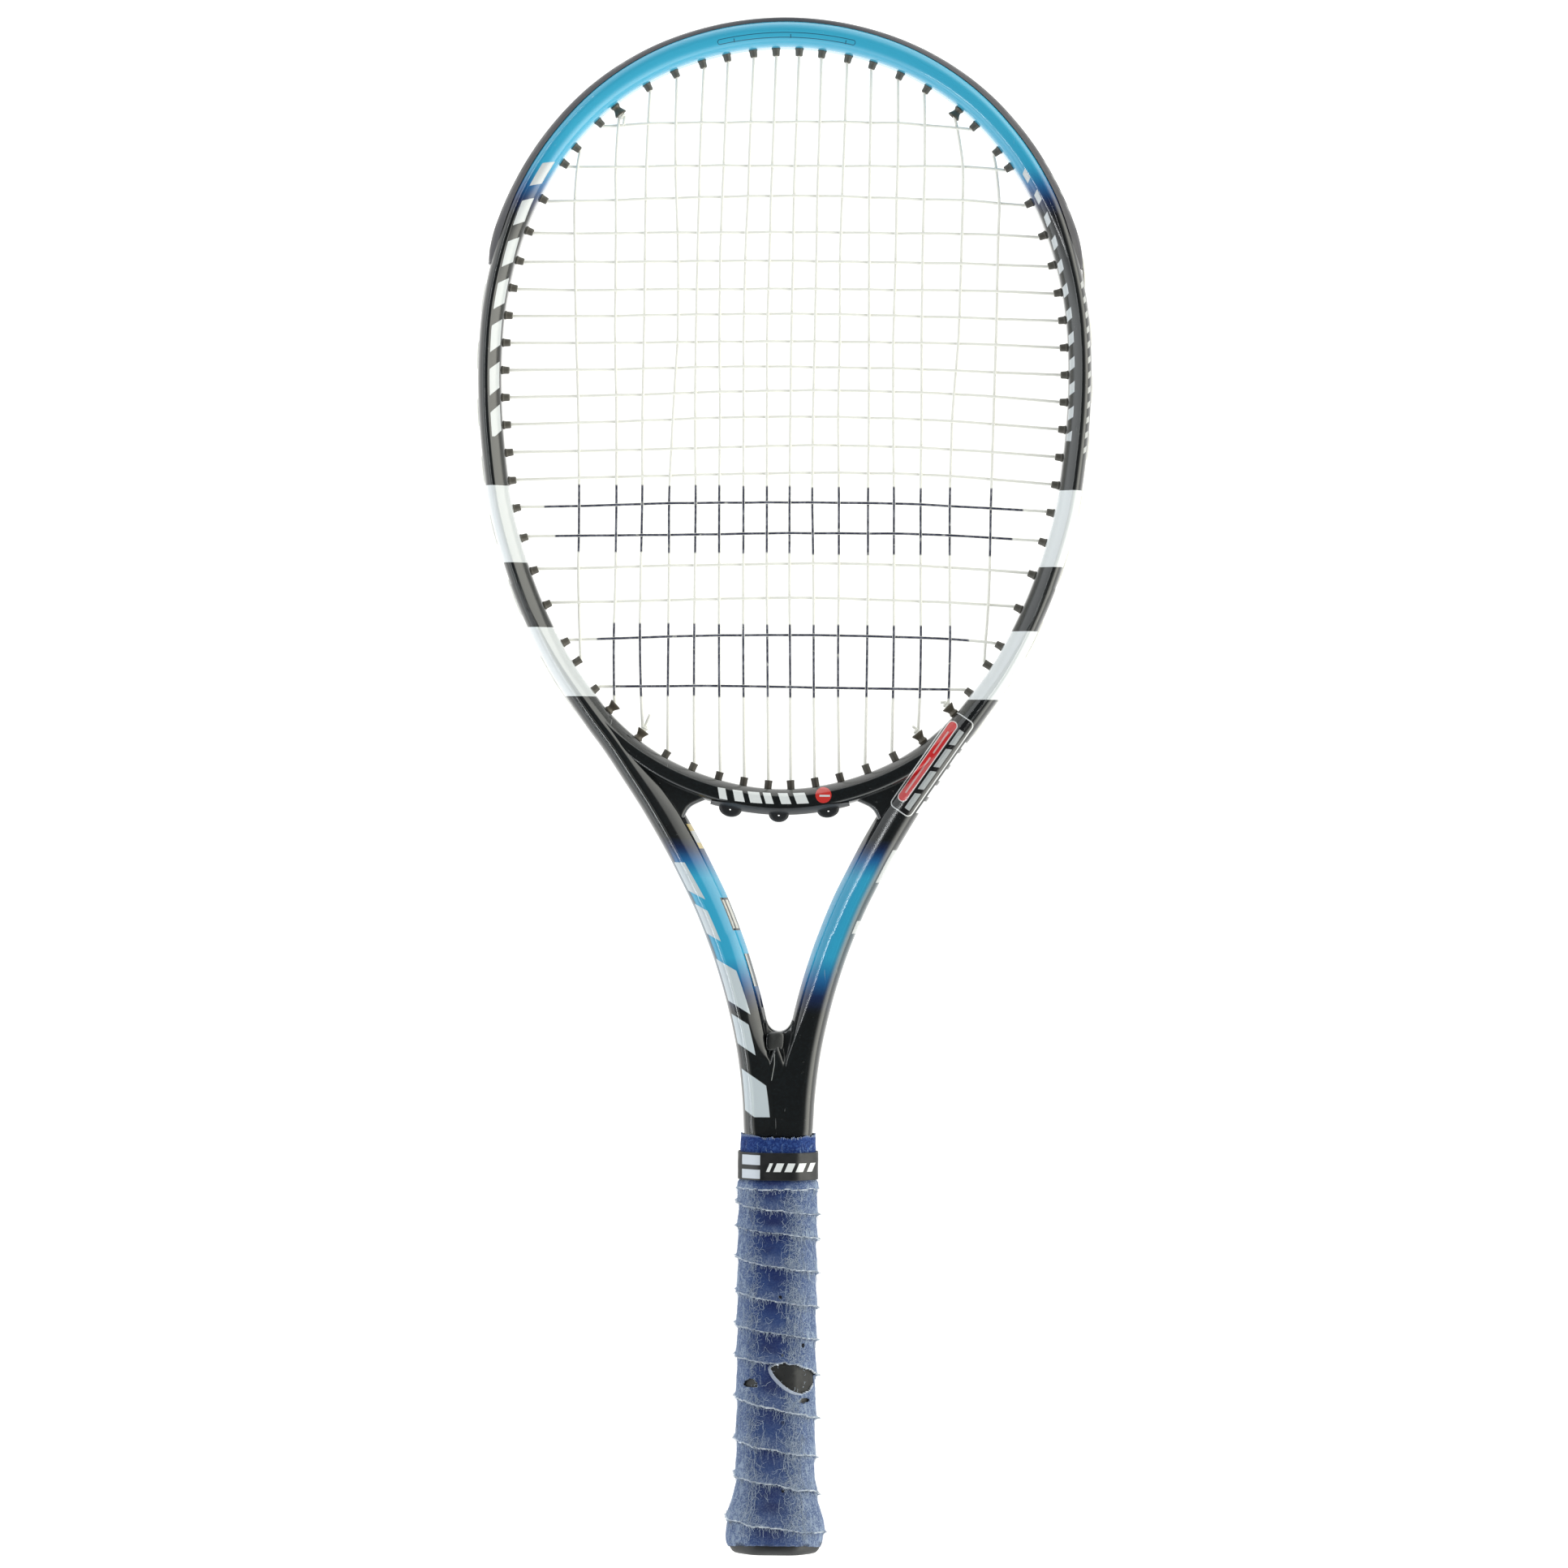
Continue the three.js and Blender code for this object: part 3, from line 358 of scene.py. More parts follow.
class Graph:
    def __init__(self, name):
        self.mat = bpy.data.materials.new(name)
        self.mat.use_nodes = True
        self.nt = self.mat.node_tree
        self.bsdf = next(n for n in self.nt.nodes if n.type == "BSDF_PRINCIPLED")
        tc = self.nt.nodes.new("ShaderNodeTexCoord")
        self.co = V(self, tc.outputs["Object"])
        sep = self.nt.nodes.new("ShaderNodeSeparateXYZ")
        self.nt.links.new(tc.outputs["Object"], sep.inputs[0])
        self.x, self.y, self.z = (V(self, sep.outputs[i]) * 1000.0 for i in range(3))

    def m(self, op, a, b=None, c=None, clamp=False):
        n = self.nt.nodes.new("ShaderNodeMath")
        n.operation, n.use_clamp = op, clamp
        for i, x in enumerate((a, b, c)):
            if x is None:
                continue
            if isinstance(x, V):
                self.nt.links.new(x.s, n.inputs[i])
            else:
                n.inputs[i].default_value = float(x)
        return V(self, n.outputs[0])

    def attr(self, name):
        n = self.nt.nodes.new("ShaderNodeAttribute")
        n.attribute_name = name
        return V(self, n.outputs["Fac"])

    def step(self, v, a, b, lo=0.0, hi=1.0, kind="SMOOTHSTEP"):
        n = self.nt.nodes.new("ShaderNodeMapRange")
        n.interpolation_type = kind
        self.nt.links.new(v.s, n.inputs["Value"])
        for key, x in (("From Min", a), ("From Max", b), ("To Min", lo), ("To Max", hi)):
            if isinstance(x, V):
                self.nt.links.new(x.s, n.inputs[key])
            else:
                n.inputs[key].default_value = float(x)
        return V(self, n.outputs["Result"])

    def band(self, v, a, b, soft=0.08):
        """1 where v lies between a and b."""
        return self.step(v, a - soft, a + soft) * self.step(v, b + soft, b - soft)

    def noise(self, scale, detail=3.0, rough=0.5, vec=None, stretch=None, dist=0.0):
        n = self.nt.nodes.new("ShaderNodeTexNoise")
        n.inputs["Scale"].default_value = scale
        n.inputs["Detail"].default_value = detail
        n.inputs["Roughness"].default_value = rough
        n.inputs["Distortion"].default_value = dist
        src = (vec or self.co).s
        if stretch:
            mp = self.nt.nodes.new("ShaderNodeMapping")
            mp.inputs["Scale"].default_value = stretch
            self.nt.links.new(src, mp.inputs["Vector"])
            src = mp.outputs["Vector"]
        self.nt.links.new(src, n.inputs["Vector"])
        return V(self, n.outputs["Fac"])

    def voronoi(self, scale, feature="F1", rand=1.0, vec=None):
        n = self.nt.nodes.new("ShaderNodeTexVoronoi")
        n.feature = feature
        n.inputs["Scale"].default_value = scale
        n.inputs["Randomness"].default_value = rand
        self.nt.links.new((vec or self.co).s, n.inputs["Vector"])
        return V(self, n.outputs["Distance"])

    def vec(self, x, y, z):
        n = self.nt.nodes.new("ShaderNodeCombineXYZ")
        for i, c in enumerate((x, y, z)):
            if isinstance(c, V):
                self.nt.links.new(c.s, n.inputs[i])
            else:
                n.inputs[i].default_value = float(c)
        return V(self, n.outputs[0])

    def col(self, rgb):
        return tuple(rgb) + (1.0,)

    def mix(self, fac, a, b):
        n = self.nt.nodes.new("ShaderNodeMix")
        n.data_type = "RGBA"
        if isinstance(fac, V):
            self.nt.links.new(fac.s, n.inputs[0])
        else:
            n.inputs[0].default_value = fac
        for i, c in ((6, a), (7, b)):
            if isinstance(c, V):
                self.nt.links.new(c.s, n.inputs[i])
            else:
                n.inputs[i].default_value = self.col(c)
        return V(self, n.outputs[2])

    def ramp(self, fac, stops, interp="LINEAR"):
        n = self.nt.nodes.new("ShaderNodeValToRGB")
        n.color_ramp.interpolation = interp
        el = n.color_ramp.elements
        while len(el) > 1:
            el.remove(el[-1])
        el[0].position, el[0].color = stops[0][0], self.col(stops[0][1])
        for p, c in stops[1:]:
            e = el.new(p)
            e.color = self.col(c)
        self.nt.links.new(fac.s, n.inputs[0])
        return V(self, n.outputs[0])

    def bump(self, height, dist, strength=1.0):
        n = self.nt.nodes.new("ShaderNodeBump")
        n.inputs["Distance"].default_value = dist
        n.inputs["Strength"].default_value = strength
        self.nt.links.new(height.s, n.inputs["Height"])
        self.nt.links.new(n.outputs[0], self.bsdf.inputs["Normal"])
        return n

    def set(self, **kw):
        for key, val in kw.items():
            name = key.replace("_", " ")
            if isinstance(val, V):
                self.nt.links.new(val.s, self.bsdf.inputs[name])
            elif isinstance(val, (tuple, list)):
                self.bsdf.inputs[name].default_value = self.col(val)
            else:
                self.bsdf.inputs[name].default_value = val
        return self.mat


def rrect(g, p, q, a, b, r):
    """Signed distance to a rounded rectangle of half sizes a, b."""
    dx = g.m("MAXIMUM", g.m("ABSOLUTE", p) - (a - r), 0.0)
    dy = g.m("MAXIMUM", g.m("ABSOLUTE", q) - (b - r), 0.0)
    return g.m("SQRT", dx * dx + dy * dy) - r


def inside(g, d, soft=0.1):
    return g.step(d, soft, -soft)


# ------------------------------------------------------------------ materials
BLACK = (0.0045, 0.0055, 0.006)
NAVY = (0.006, 0.019, 0.075)
BLUE = (0.013, 0.115, 0.30)
CYAN = (0.030, 0.335, 0.545)
CYAN2 = (0.042, 0.385, 0.590)
WHITE = (0.70, 0.725, 0.735)
WHITE_BEVEL_SHADE = (0.545, 0.57, 0.585)      # painted shade: a darker copy of the white paint for the inner bevel of the left side


def mat_paint():
    g = Graph("frame_gloss_paint")
    warp = (g.noise(14.0, 2.0) - 0.5) * 5.0
    yy = g.y + warp

    def pos(y):
        return (y - 170.0) / 480.0
    base = g.ramp(g.step(yy, 170, 650, kind="LINEAR"), [
        (0, BLACK), (pos(233.0), BLACK), (pos(239.5), NAVY), (pos(246.5), BLUE), (pos(256), CYAN), (pos(290), CYAN),
        (pos(297.5), BLUE), (pos(302.0), NAVY), (pos(306.5), BLACK), (pos(574.5), BLACK), (pos(581.0), NAVY),
        (pos(587.5), BLUE), (pos(596), CYAN), (pos(612), CYAN2), (1, CYAN2)])
    # faint metallic flake and thickness variation in the colour coat
    flake = g.noise(900.0, 2.0, 0.6)
    cloud = g.noise(60.0, 3.0)
    base = g.mix((flake - 0.45) * 0.04, base, (0.25, 0.45, 0.55))
    # plain white bands across the head
    bands = g.m("MAXIMUM", g.band(g.y, 424.6, 457.6, 0.07), g.band(g.y, 367.4, 396.9, 0.07))
    white = g.mix(cloud, (0.69, 0.725, 0.745), WHITE)
    xin, run = g.attr("xin"), g.attr("run")
    front = g.step(g.z, 0.5, 1.5)
    left, right = g.step(run, -1.0, -3.0), g.step(run, 1.0, 3.0)
    # painted shade: the white bands are drawn darker on the left side's inner bevel and on the right side's outer
    # curve, two faces that both turn to the right
    white = g.mix(g.step(xin, 3.6, 5.0) * left, white, WHITE_BEVEL_SHADE)
    white = g.mix(g.step(xin, 2.6, 0.8) * right, white, (0.60, 0.625, 0.64))
    # the colour fades out towards the outer side of the arms
    on_arm = g.band(g.y, 236.0, 306.0, 3.0)
    base = g.mix(g.step(xin, 5.9, 2.0) * right * on_arm * 0.92, base, (0.014, 0.016, 0.014))
    base = g.mix(g.step(xin, 2.0, 1.1) * left * on_arm * 0.85, base, (0.008, 0.014, 0.03))
    colr = g.mix(bands, base, white)
    # slanted bars on the inner bevel of the head, both sides
    a0, a1 = s_at_y(604.0), s_at_y(604.0)
    s604 = float(np.interp(-604.0, -pts[:i_low, 1], seg[:i_low]))
    s478 = float(np.interp(-478.0, -pts[:, 1], seg))
    ar = g.m("ABSOLUTE", run)
    cell = g.m("FRACT", (ar + xin * 0.9) / 19.0)
    bars = g.band(cell, 0.05, 0.66, 0.012) * g.band(ar, s604, s478, 0.1) * g.band(xin, 5.35, 9.35, 0.08)
    inner = g.m("MULTIPLY", bars, g.band(g.m("FRACT", (ar + xin * 0.9) / 9.5), 0.0, 0.86, 0.02))
    # the bars on the left are drawn in the darker, shaded white of the inner bevel: painted shade
    colr = g.mix(bars * front * left, colr, WHITE_BEVEL_SHADE)
    small = g.band(g.m("FRACT", (ar - xin * 0.8) / 11.0), 0.08, 0.52, 0.02) * g.band(ar, s604 + 6, s478, 0.1) \
        * g.band(xin, 7.6, 9.7, 0.08)
    colr = g.mix(small * front * right, colr, (0.55, 0.58, 0.6))
    dash = g.band(g.m("FRACT", (run - xin) / 6.5), 0.1, 0.5, 0.03) * g.band(run, s_at_angle(66), s_at_angle(99), 0.1) \
        * g.band(xin, 0.7, 1.9, 0.06)
    colr = g.mix(dash * front, colr, (0.42, 0.43, 0.42))
    # long slanted blocks on the left arm, widening towards the grip
    top = g.step(g.y, 304.0, 186.0, 4.6, 11.6, kind="LINEAR")
    sl = g.m("FRACT", (g.y * -1.0 - xin * 0.75 + 304.0) / 23.5)
    odd = g.m("MODULO", g.m("FLOOR", (g.y * -1.0 - xin * 0.75 + 304.0) / 23.5), 2.0)
    arm = g.band(sl, 0.04, g.m("ADD", odd * -0.22, 0.80), 0.01) * g.band(g.y, 187.5, 296.5, 0.1) * g.step(xin, 0.9, 1.1) \
        * g.step(xin - top * (1.0 - odd * 0.22), 0.1, -0.1)
    colr = g.mix(arm * front * left, colr, (0.50, 0.56, 0.60))
    rmark = g.m("MAXIMUM", g.band(g.y, 288.5, 302.5, 0.1), g.band(g.y, 266.5, 272.0, 0.1)) * g.band(xin, 0.1, 1.7, 0.1)
    colr = g.mix(rmark * front * right, colr, (0.42, 0.44, 0.44))
    # blocks and a small disc on the bridge
    ang = g.m("ARCTAN2", g.x, HEAD_Y - g.y)
    rad = g.m("SQRT", g.x * g.x + (g.y - HEAD_Y) * (g.y - HEAD_Y))
    arc = ang * 165.0
    ring_q = rad - 166.9
    cellb = (arc + ring_q * -0.35 + 27.0) / 6.5
    third = g.m("MODULO", g.m("FLOOR", cellb), 3.0)
    blk = g.band(g.m("FRACT", cellb), 0.05, third * 0.13 + 0.56, 0.012) * g.band(cellb, 0.0, 6.0, 0.01) * g.band(ring_q, -2.4, 2.3, 0.1)
    colr = g.mix(blk * front, colr, WHITE)
    dd = g.m("SQRT", (g.x - 18.1) * (g.x - 18.1) + (g.y - 325.9) * (g.y - 325.9))
    disc = g.step(dd, 3.5, 3.35)
    colr = g.mix(disc * front, colr, (0.56, 0.035, 0.03))
    colr = g.mix(disc * front * g.band(g.y, 325.2, 326.0, 0.08) * g.band(g.x, 16.4, 20.9, 0.1), colr, (0.6, 0.62, 0.63))
    # graphic on the right shoulder: dark patch, thin outline, red pill and rows of plain bars
    ca, sa_ = math.cos(math.radians(55.5)), math.sin(math.radians(55.5))
    px, py = g.x - 62.1, g.y - 341.2
    p, q = px * ca + py * sa_, py * ca - px * sa_ + 0.7
    d1 = rrect(g, p, q + 2.3, 24.5, 5.2, 2.2)
    patch = inside(g, d1) * front
    colr = g.mix(patch, colr, (0.006, 0.006, 0.007))
    colr = g.mix(g.step(g.m("ABSOLUTE", d1), 0.30, 0.18) * front, colr, (0.62, 0.63, 0.64))
    d2 = rrect(g, p, q, 20.5, 2.0, 1.95)
    colr = g.mix(inside(g, d2) * front, colr, (0.56, 0.022, 0.026))
    colr = g.mix(g.step(g.m("ABSOLUTE", d2), 0.26, 0.15) * front, colr, (0.68, 0.60, 0.60))
    colr = g.mix(g.band(q, -0.35, 0.35, 0.1) * g.band(p, -16.5, 15.5, 0.2) * front * (1.0 - g.band(p, 2.0, 4.2, 0.2)), colr, (0.60, 0.36, 0.36))
    b3 = g.band(g.m("FRACT", (p + q * 0.5 + 26.0) / 11.6), 0.05, 0.86, 0.015) * g.band(p, -22.0, 19.0, 0.1) * g.band(q, -5.7, -3.3, 0.1)
    colr = g.mix(b3 * front, colr, (0.42, 0.44, 0.45))
    b4 = g.band(g.m("FRACT", (p + q * 0.5 + 26.0) / 8.4), 0.08, 0.80, 0.02) * g.band(p, -22.0, 16.0, 0.1) * g.band(q, -11.2, -8.6, 0.1)
    colr = g.mix(b4 * front, colr, (0.70, 0.72, 0.73))
    # plain stickers on the inner side of the left arm
    stick = g.band(g.y, 267.5, 281.5, 0.08) * g.band(xin, 12.0, 15.2, 0.08) * left * front
    colr = g.mix(stick, colr, (0.012, 0.012, 0.013))
    colr = g.mix(stick * g.band(g.y, 268.4, 280.6, 0.05) * (g.band(xin, 12.5, 13.2, 0.05) + g.band(xin, 13.7, 14.6, 0.05)), colr, (0.60, 0.58, 0.53))
    stick2 = g.band(g.y, 243.5, 257.5, 0.08) * g.band(xin, 13.0, 15.2, 0.08) * left * front
    colr = g.mix(stick2, colr, (0.03, 0.035, 0.04))
    colr = g.mix(stick2 * g.band(xin, 13.4, 14.1, 0.05), colr, (0.5, 0.5, 0.48))
    stick3 = g.band(g.y, 302.5, 313.0, 0.08) * g.band(xin, 13.4, 15.4, 0.08) * left * front
    colr = g.mix(stick3, colr, (0.55, 0.43, 0.17))
    colr = g.mix(stick3 * g.band(g.y, 305.0, 310.0, 0.2), colr, (0.52, 0.53, 0.53))
    # fine seam left by the mould below the crotch
    sx_ = g.x + 1.9 + g.m("MAXIMUM", 210.3 - g.y, 0.0) * 0.17
    seam = g.band(sx_, -0.16, 0.16, 0.06) * g.band(g.y, 203.3, 214.6, 0.3) * g.step(g.noise(300.0, 2.0), 0.34, 0.42)
    colr = g.mix(seam * front * 0.75, colr, (0.40, 0.41, 0.40))
    # thin pill-shaped outline with ticks at the tip
    dp = rrect(g, run + 0.6, xin - 6.6, 31.0, 1.0, 0.9)
    colr = g.mix(g.step(g.m("ABSOLUTE", dp), 0.2, 0.1) * front, colr, (0.02, 0.09, 0.15))
    tick = (g.band(run, -24.4, -24.0, 0.08) + g.band(run, 1.1, 1.5, 0.08) + g.band(run, 26.0, 26.4, 0.08)) \
        * g.band(xin, 6.3, 7.9, 0.1)
    colr = g.mix(tick * front, colr, (0.02, 0.09, 0.15))
    # chips and dull specks
    chip = g.step(g.voronoi(38.0), 0.075, 0.055) * g.step(g.noise(25.0, 2.0), 0.56, 0.6)
    colr = g.mix(chip * 0.8, colr, (0.03, 0.035, 0.04))
    dust = g.step(g.noise(420.0, 4.0, 0.7), 0.66, 0.74)
    colr = g.mix(dust * 0.10, colr, (0.5, 0.5, 0.48))
    scratch = g.step(g.noise(90.0, 2.0, 0.5, stretch=(6.0, 0.6, 1.0), dist=0.4), 0.745, 0.76)
    colr = g.mix(scratch * 0.18, colr, (0.45, 0.46, 0.46))
    rough = g.step(g.noise(35.0, 4.0, 0.6), 0.3, 0.8, 0.13, 0.24) + scratch * 0.18 + dust * 0.1
    ridge = g.band(xin, 2.9, 4.6, 0.1) * left * front * g.step(g.y, 352.0, 346.0)
    rough = rough * (1.0 - ridge) + ridge * 0.15
    g.bump((g.noise(180.0, 2.0, 0.5) * 0.4 + g.noise(30.0, 2.0)) * (1.0 - ridge * 0.9), 0.00003, 0.4)
    g.set(Base_Color=colr, Roughness=rough)
    g.set(Coat_Weight=0.6, Coat_Roughness=0.15, Specular_IOR_Level=0.55)
    return g.mat


def mat_plastic(name, colour, rough=(0.38, 0.55), scuff=0.25, pale=(0.10, 0.10, 0.10), grain=700.0):
    g = Graph(name)
    c = g.mix(g.noise(70.0, 4.0, 0.6), colour, tuple(min(1, v * 1.5 + 0.004) for v in colour))
    sc = g.step(g.noise(160.0, 5.0, 0.7, stretch=(1.0, 1.0, 2.0)), 0.56, 0.75)
    c = g.mix(sc * scuff, c, pale)
    g.bump(g.noise(grain, 3.0, 0.6) + sc * 0.6, 0.00005, 0.55)
    return g.set(Base_Color=c, Roughness=g.step(g.noise(90.0, 3.0), 0.3, 0.7, rough[0], rough[1]))


def mat_bumper():
    g = Graph("bumper_nylon")
    c = g.mix(g.noise(60.0, 4.0, 0.6), (0.040, 0.0385, 0.046), (0.056, 0.0545, 0.063))
    run, up = g.attr("run"), g.attr("out")
    # painted highlight: the bumper turns lighter towards the top of the head, standing in for light falling on its
    # upper arc
    c = g.mix(g.step(g.m("ABSOLUTE", run), 120.0, 15.0) * 0.8, c, (0.120, 0.120, 0.134))
    marks = g.band(g.m("FRACT", (run + g.z * 0.8) / 7.0), 0.15, 0.5, 0.03) * g.band(run, 128.0, 156.0, 0.2) \
        * g.band(g.z, 4.2, 6.6, 0.1)
    c = g.mix(marks * 0.7, c, (0.30, 0.31, 0.32))
    sc = g.step(g.noise(220.0, 5.0, 0.7, stretch=(1.0, 1.0, 0.4)), 0.55, 0.72) * g.step(up, 1.2, 2.6)
    c = g.mix(sc * 0.45, c, (0.22, 0.215, 0.21))
    g.bump(g.noise(600.0, 4.0, 0.65) + sc * -0.9, 0.00009, 0.7)
    return g.set(Base_Color=c, Roughness=g.step(g.noise(80.0, 3.0), 0.3, 0.7, 0.34, 0.52))


def mat_string(name, crosses):
    g = Graph(name)
    wob = (g.noise(55.0, 2.0) - 0.5) * 2.2
    yy, xx = g.y + wob, g.x + wob
    ax = g.m("ABSOLUTE", xx)
    if crosses:
        a = g.band(g.y, 443.0, 453.0, 0.4) * g.step(ax, 103.6, 102.6)
        b = g.band(g.y, 431.0, 441.0, 0.4) * g.step(ax, 98.9, 97.9)
        c_ = g.band(g.y, 388.0, 396.5, 0.4) * g.step(ax, 80.6, 79.6)
        d = g.band(g.y, 368.0, 376.0, 0.4) * g.step(ax, 72.6, 71.6)
        ink = g.m("MAXIMUM", g.m("MAXIMUM", a, b), g.m("MAXIMUM", c_, d))
    else:
        ink = g.m("MAXIMUM", g.band(yy, 429.6, 458.6, 0.5), g.band(yy, 367.9, 399.2, 0.5) * g.step(ax, 75.5, 74.5))
        ink = ink * g.step(g.m("ABSOLUTE", g.x), 108.0, 107.0)
    worn = g.step(g.noise(420.0, 3.0, 0.6), 0.42, 0.66)
    tint = g.noise(40.0, 3.0, 0.6)
    base = g.mix(tint, (0.69, 0.685, 0.64), (0.75, 0.75, 0.70))
    fine = g.noise(1500.0, 2.0, 0.5)
    base = g.mix(fine * 0.18, base, (0.70, 0.70, 0.66))
    inked = g.mix(worn, (0.020, 0.022, 0.045), (0.12, 0.125, 0.16))
    ink = ink * g.step(g.attr("crest"), 0.42, 0.80)      # the ink lies along the crest of the string
    colr = g.mix(ink * g.step(g.noise(260.0, 3.0, 0.6), 0.72, 0.60, 0.55, 1.0), base, inked)
    g.bump(g.noise(1100.0, 2.0, 0.5), 0.00002, 0.4)
    g.set(Base_Color=colr, Roughness=g.step(g.noise(200.0), 0.3, 0.7, 0.28, 0.42))
    # painted light: the strings glow faintly, which lifts their shaded sides
    g.set(Emission_Color=colr, Emission_Strength=0.16)
    g.set(Subsurface_Weight=0.0, Specular_IOR_Level=0.5)
    return g.mat


def mat_overgrip():
    g = Graph("overgrip_felt")
    f, lip = g.attr("wrap"), g.attr("lip")          # 0..1 across a turn of the tape, 1 on the frayed edge
    fibre = g.noise(520.0, 5.0, 0.72, dist=1.6)
    hair = g.noise(240.0, 5.0, 0.75, stretch=(1.0, 0.45, 1.0), dist=2.2)
    cloud = g.noise(34.0, 4.0, 0.6)
    mid = g.mix(fibre, (0.012, 0.031, 0.120), (0.046, 0.088, 0.240))
    mid = g.mix(cloud * 0.45, mid, (0.026, 0.052, 0.160))
    # dark sweat stains down the middle of the faces
    cx = g.m("EXPONENT", (g.x + 2.0) * (g.x + 2.0) * -0.024)
    st = g.step(g.noise(46.0, 4.0, 0.65, stretch=(0.55, 1.5, 0.7)), 0.44, 0.62) * cx
    st = st * g.band(f, 0.02, 0.66, 0.14)
    mid = g.mix(st * 0.88, mid, (0.014, 0.018, 0.075))
    # painted shadow: a broad darker band just below each free edge of the tape, strongest down the middle, plus a
    # slight darkening down the middle with the stains
    edge_shadow_and_stain = g.m("MINIMUM", g.step(f, 0.60, 0.0) * (cx * 0.75 + 0.15) + cx * 0.22, 0.92)
    mid = g.mix(edge_shadow_and_stain, mid, (0.011, 0.022, 0.105))
    # whitish fuzz: towards the free edge, on the right third and in strands
    fz = g.step(f, 0.50, 1.0) * 0.55 + g.step(g.x, 3.0, 9.0) * 0.42 + g.step(g.y, 120.0, 10.0) * 0.16
    fz = fz + g.step(g.m("ABSOLUTE", g.x), 9.5, 14.5) * 0.40 + g.step(g.x, -8.0, -14.5) * 0.50
    strands = g.step(hair, 0.50, 0.62)
    grain = g.step(g.noise(1500.0, 3.0, 0.65), 0.47, 0.63)
    mid = g.mix(g.m("MINIMUM", fz * (0.20 + strands * 0.55 + grain * 0.45), 0.84), mid, (0.30, 0.365, 0.465))
    mid = g.mix(grain * (1.0 - cx * 0.75) * 0.24, mid, (0.26, 0.34, 0.48))
    # painted shadow: a thin dark line right below each free edge of the tape
    mid = g.mix(g.step(f, 0.050, 0.004) * 0.72, mid, (0.008, 0.012, 0.040))
    mid = g.mix(g.step(lip, 0.30, 0.80) * g.step(g.y, 4.2, 7.5) * 0.95, mid, (0.74, 0.79, 0.85))
    # grime on the lowest edge
    mid = g.mix(g.step(g.noise(150.0, 3.0, 0.6), 0.44, 0.60) * g.step(g.y, 6.2, 3.8) * 0.80, mid, (0.016, 0.019, 0.032))
    topz = g.step(g.y, 172.0, 172.5)                # fresher colour above the finishing tape
    fresh = g.mix(g.step(fibre, 0.42, 0.66), (0.008, 0.024, 0.130), (0.040, 0.090, 0.280))
    fresh = g.mix(g.step(hair, 0.56, 0.66) * g.step(g.y, 178.0, 174.0) * 0.75, fresh, (0.22, 0.32, 0.50))
    mid = g.mix(topz * 0.97, mid, fresh)
    mid = g.mix(g.step(g.y, 178.6, 179.5) * 0.40, mid, (0.28, 0.34, 0.46))
    # pin-holes of the perforation
    ph = g.step(g.voronoi(95.0), 0.105, 0.075) * g.step(g.noise(60.0, 1.0), 0.44, 0.52)
    mid = g.mix(ph * (1.0 - topz), mid, (0.008, 0.009, 0.016))
    g.bump(fibre * 0.6 + hair * 0.9 - ph * 1.5, 0.00045, 0.9)
    g.set(Base_Color=mid, Roughness=0.95)
    g.set(Sheen_Weight=0.13, Sheen_Roughness=0.45, Sheen_Tint=(0.85, 0.92, 1.0), Specular_IOR_Level=0.10)
    return g.mat


def mat_fibre():
    g = Graph("overgrip_fibre")
    c = g.mix(g.noise(150.0, 3.0), (0.30, 0.38, 0.51), (0.66, 0.735, 0.83))
    g.bump(g.noise(2500.0), 0.00002, 0.4)
    g.set(Base_Color=c, Roughness=g.step(g.noise(300.0), 0.2, 0.8, 0.85, 0.98))
    return g.mat


def mat_tape():
    g = Graph("finishing_tape_vinyl")
    c = g.mix(g.noise(50.0, 3.0), (0.0050, 0.0056, 0.0066), (0.0105, 0.0112, 0.0128))
    front = g.step(g.z, 0.5, 1.5)
    sq = g.band(g.x, -15.4, -7.7, 0.1) * (g.band(g.y, 167.2, 171.4, 0.1) + g.band(g.y, 161.3, 165.2, 0.1))
    c = g.mix(sq * front, c, (0.56, 0.60, 0.66))
    sl = (g.x - (g.y - 166.0) * 0.42)
    bar = g.band(g.m("FRACT", (sl + 40.0) / 4.8), 0.06, 0.72, 0.015) * g.band(sl, -4.4, 15.3, 0.1) * g.band(g.y, 164.3, 168.0, 0.08)
    c = g.mix(bar * front, c, (0.72, 0.74, 0.75))
    back = g.step(g.z, -0.5, -1.5)
    c = g.mix(back * g.band(g.y, 165.2, 166.9, 0.1) * g.band(g.x, -13.0, 9.0, 0.1), c, (0.56, 0.60, 0.66))
    wr = g.noise(120.0, 4.0, 0.6, stretch=(1.0, 0.35, 1.0))
    g.bump(wr, 0.00012, 0.5)
    return g.set(Base_Color=c, Roughness=g.step(g.noise(220.0, 4.0), 0.3, 0.7, 0.34, 0.5))


def mat_basegrip():
    g = Graph("base_grip_leather")
    c = g.mix(g.noise(120.0, 4.0), (0.008, 0.0088, 0.0095), (0.015, 0.0155, 0.0155))
    crease = g.step(g.noise(150.0, 3.0, 0.55, stretch=(0.5, 1.6, 1.0), dist=0.8), 0.60, 0.66)
    c = g.mix(crease * 0.20, c, (0.060, 0.064, 0.062))
    ph = g.step(g.voronoi(300.0, rand=0.25), 0.30, 0.22)
    c = g.mix(ph * 0.5, c, (0.003, 0.003, 0.003))
    g.bump(g.noise(110.0, 3.0, 0.5) * 0.8 + crease * 0.4 - ph * 0.3, 0.00012, 0.5)
    return g.set(Base_Color=c, Roughness=g.step(g.noise(100.0), 0.3, 0.7, 0.50, 0.70))


def mat_steel():
    g = Graph("staple_wire")
    c = g.mix(g.noise(200.0), (0.42, 0.42, 0.43), (0.58, 0.58, 0.59))
    g.bump(g.noise(900.0), 0.00002, 0.4)
    g.set(Base_Color=c, Roughness=g.step(g.noise(300.0), 0.3, 0.7, 0.28, 0.42))
    g.set(Metallic=1.0)
    return g.mat


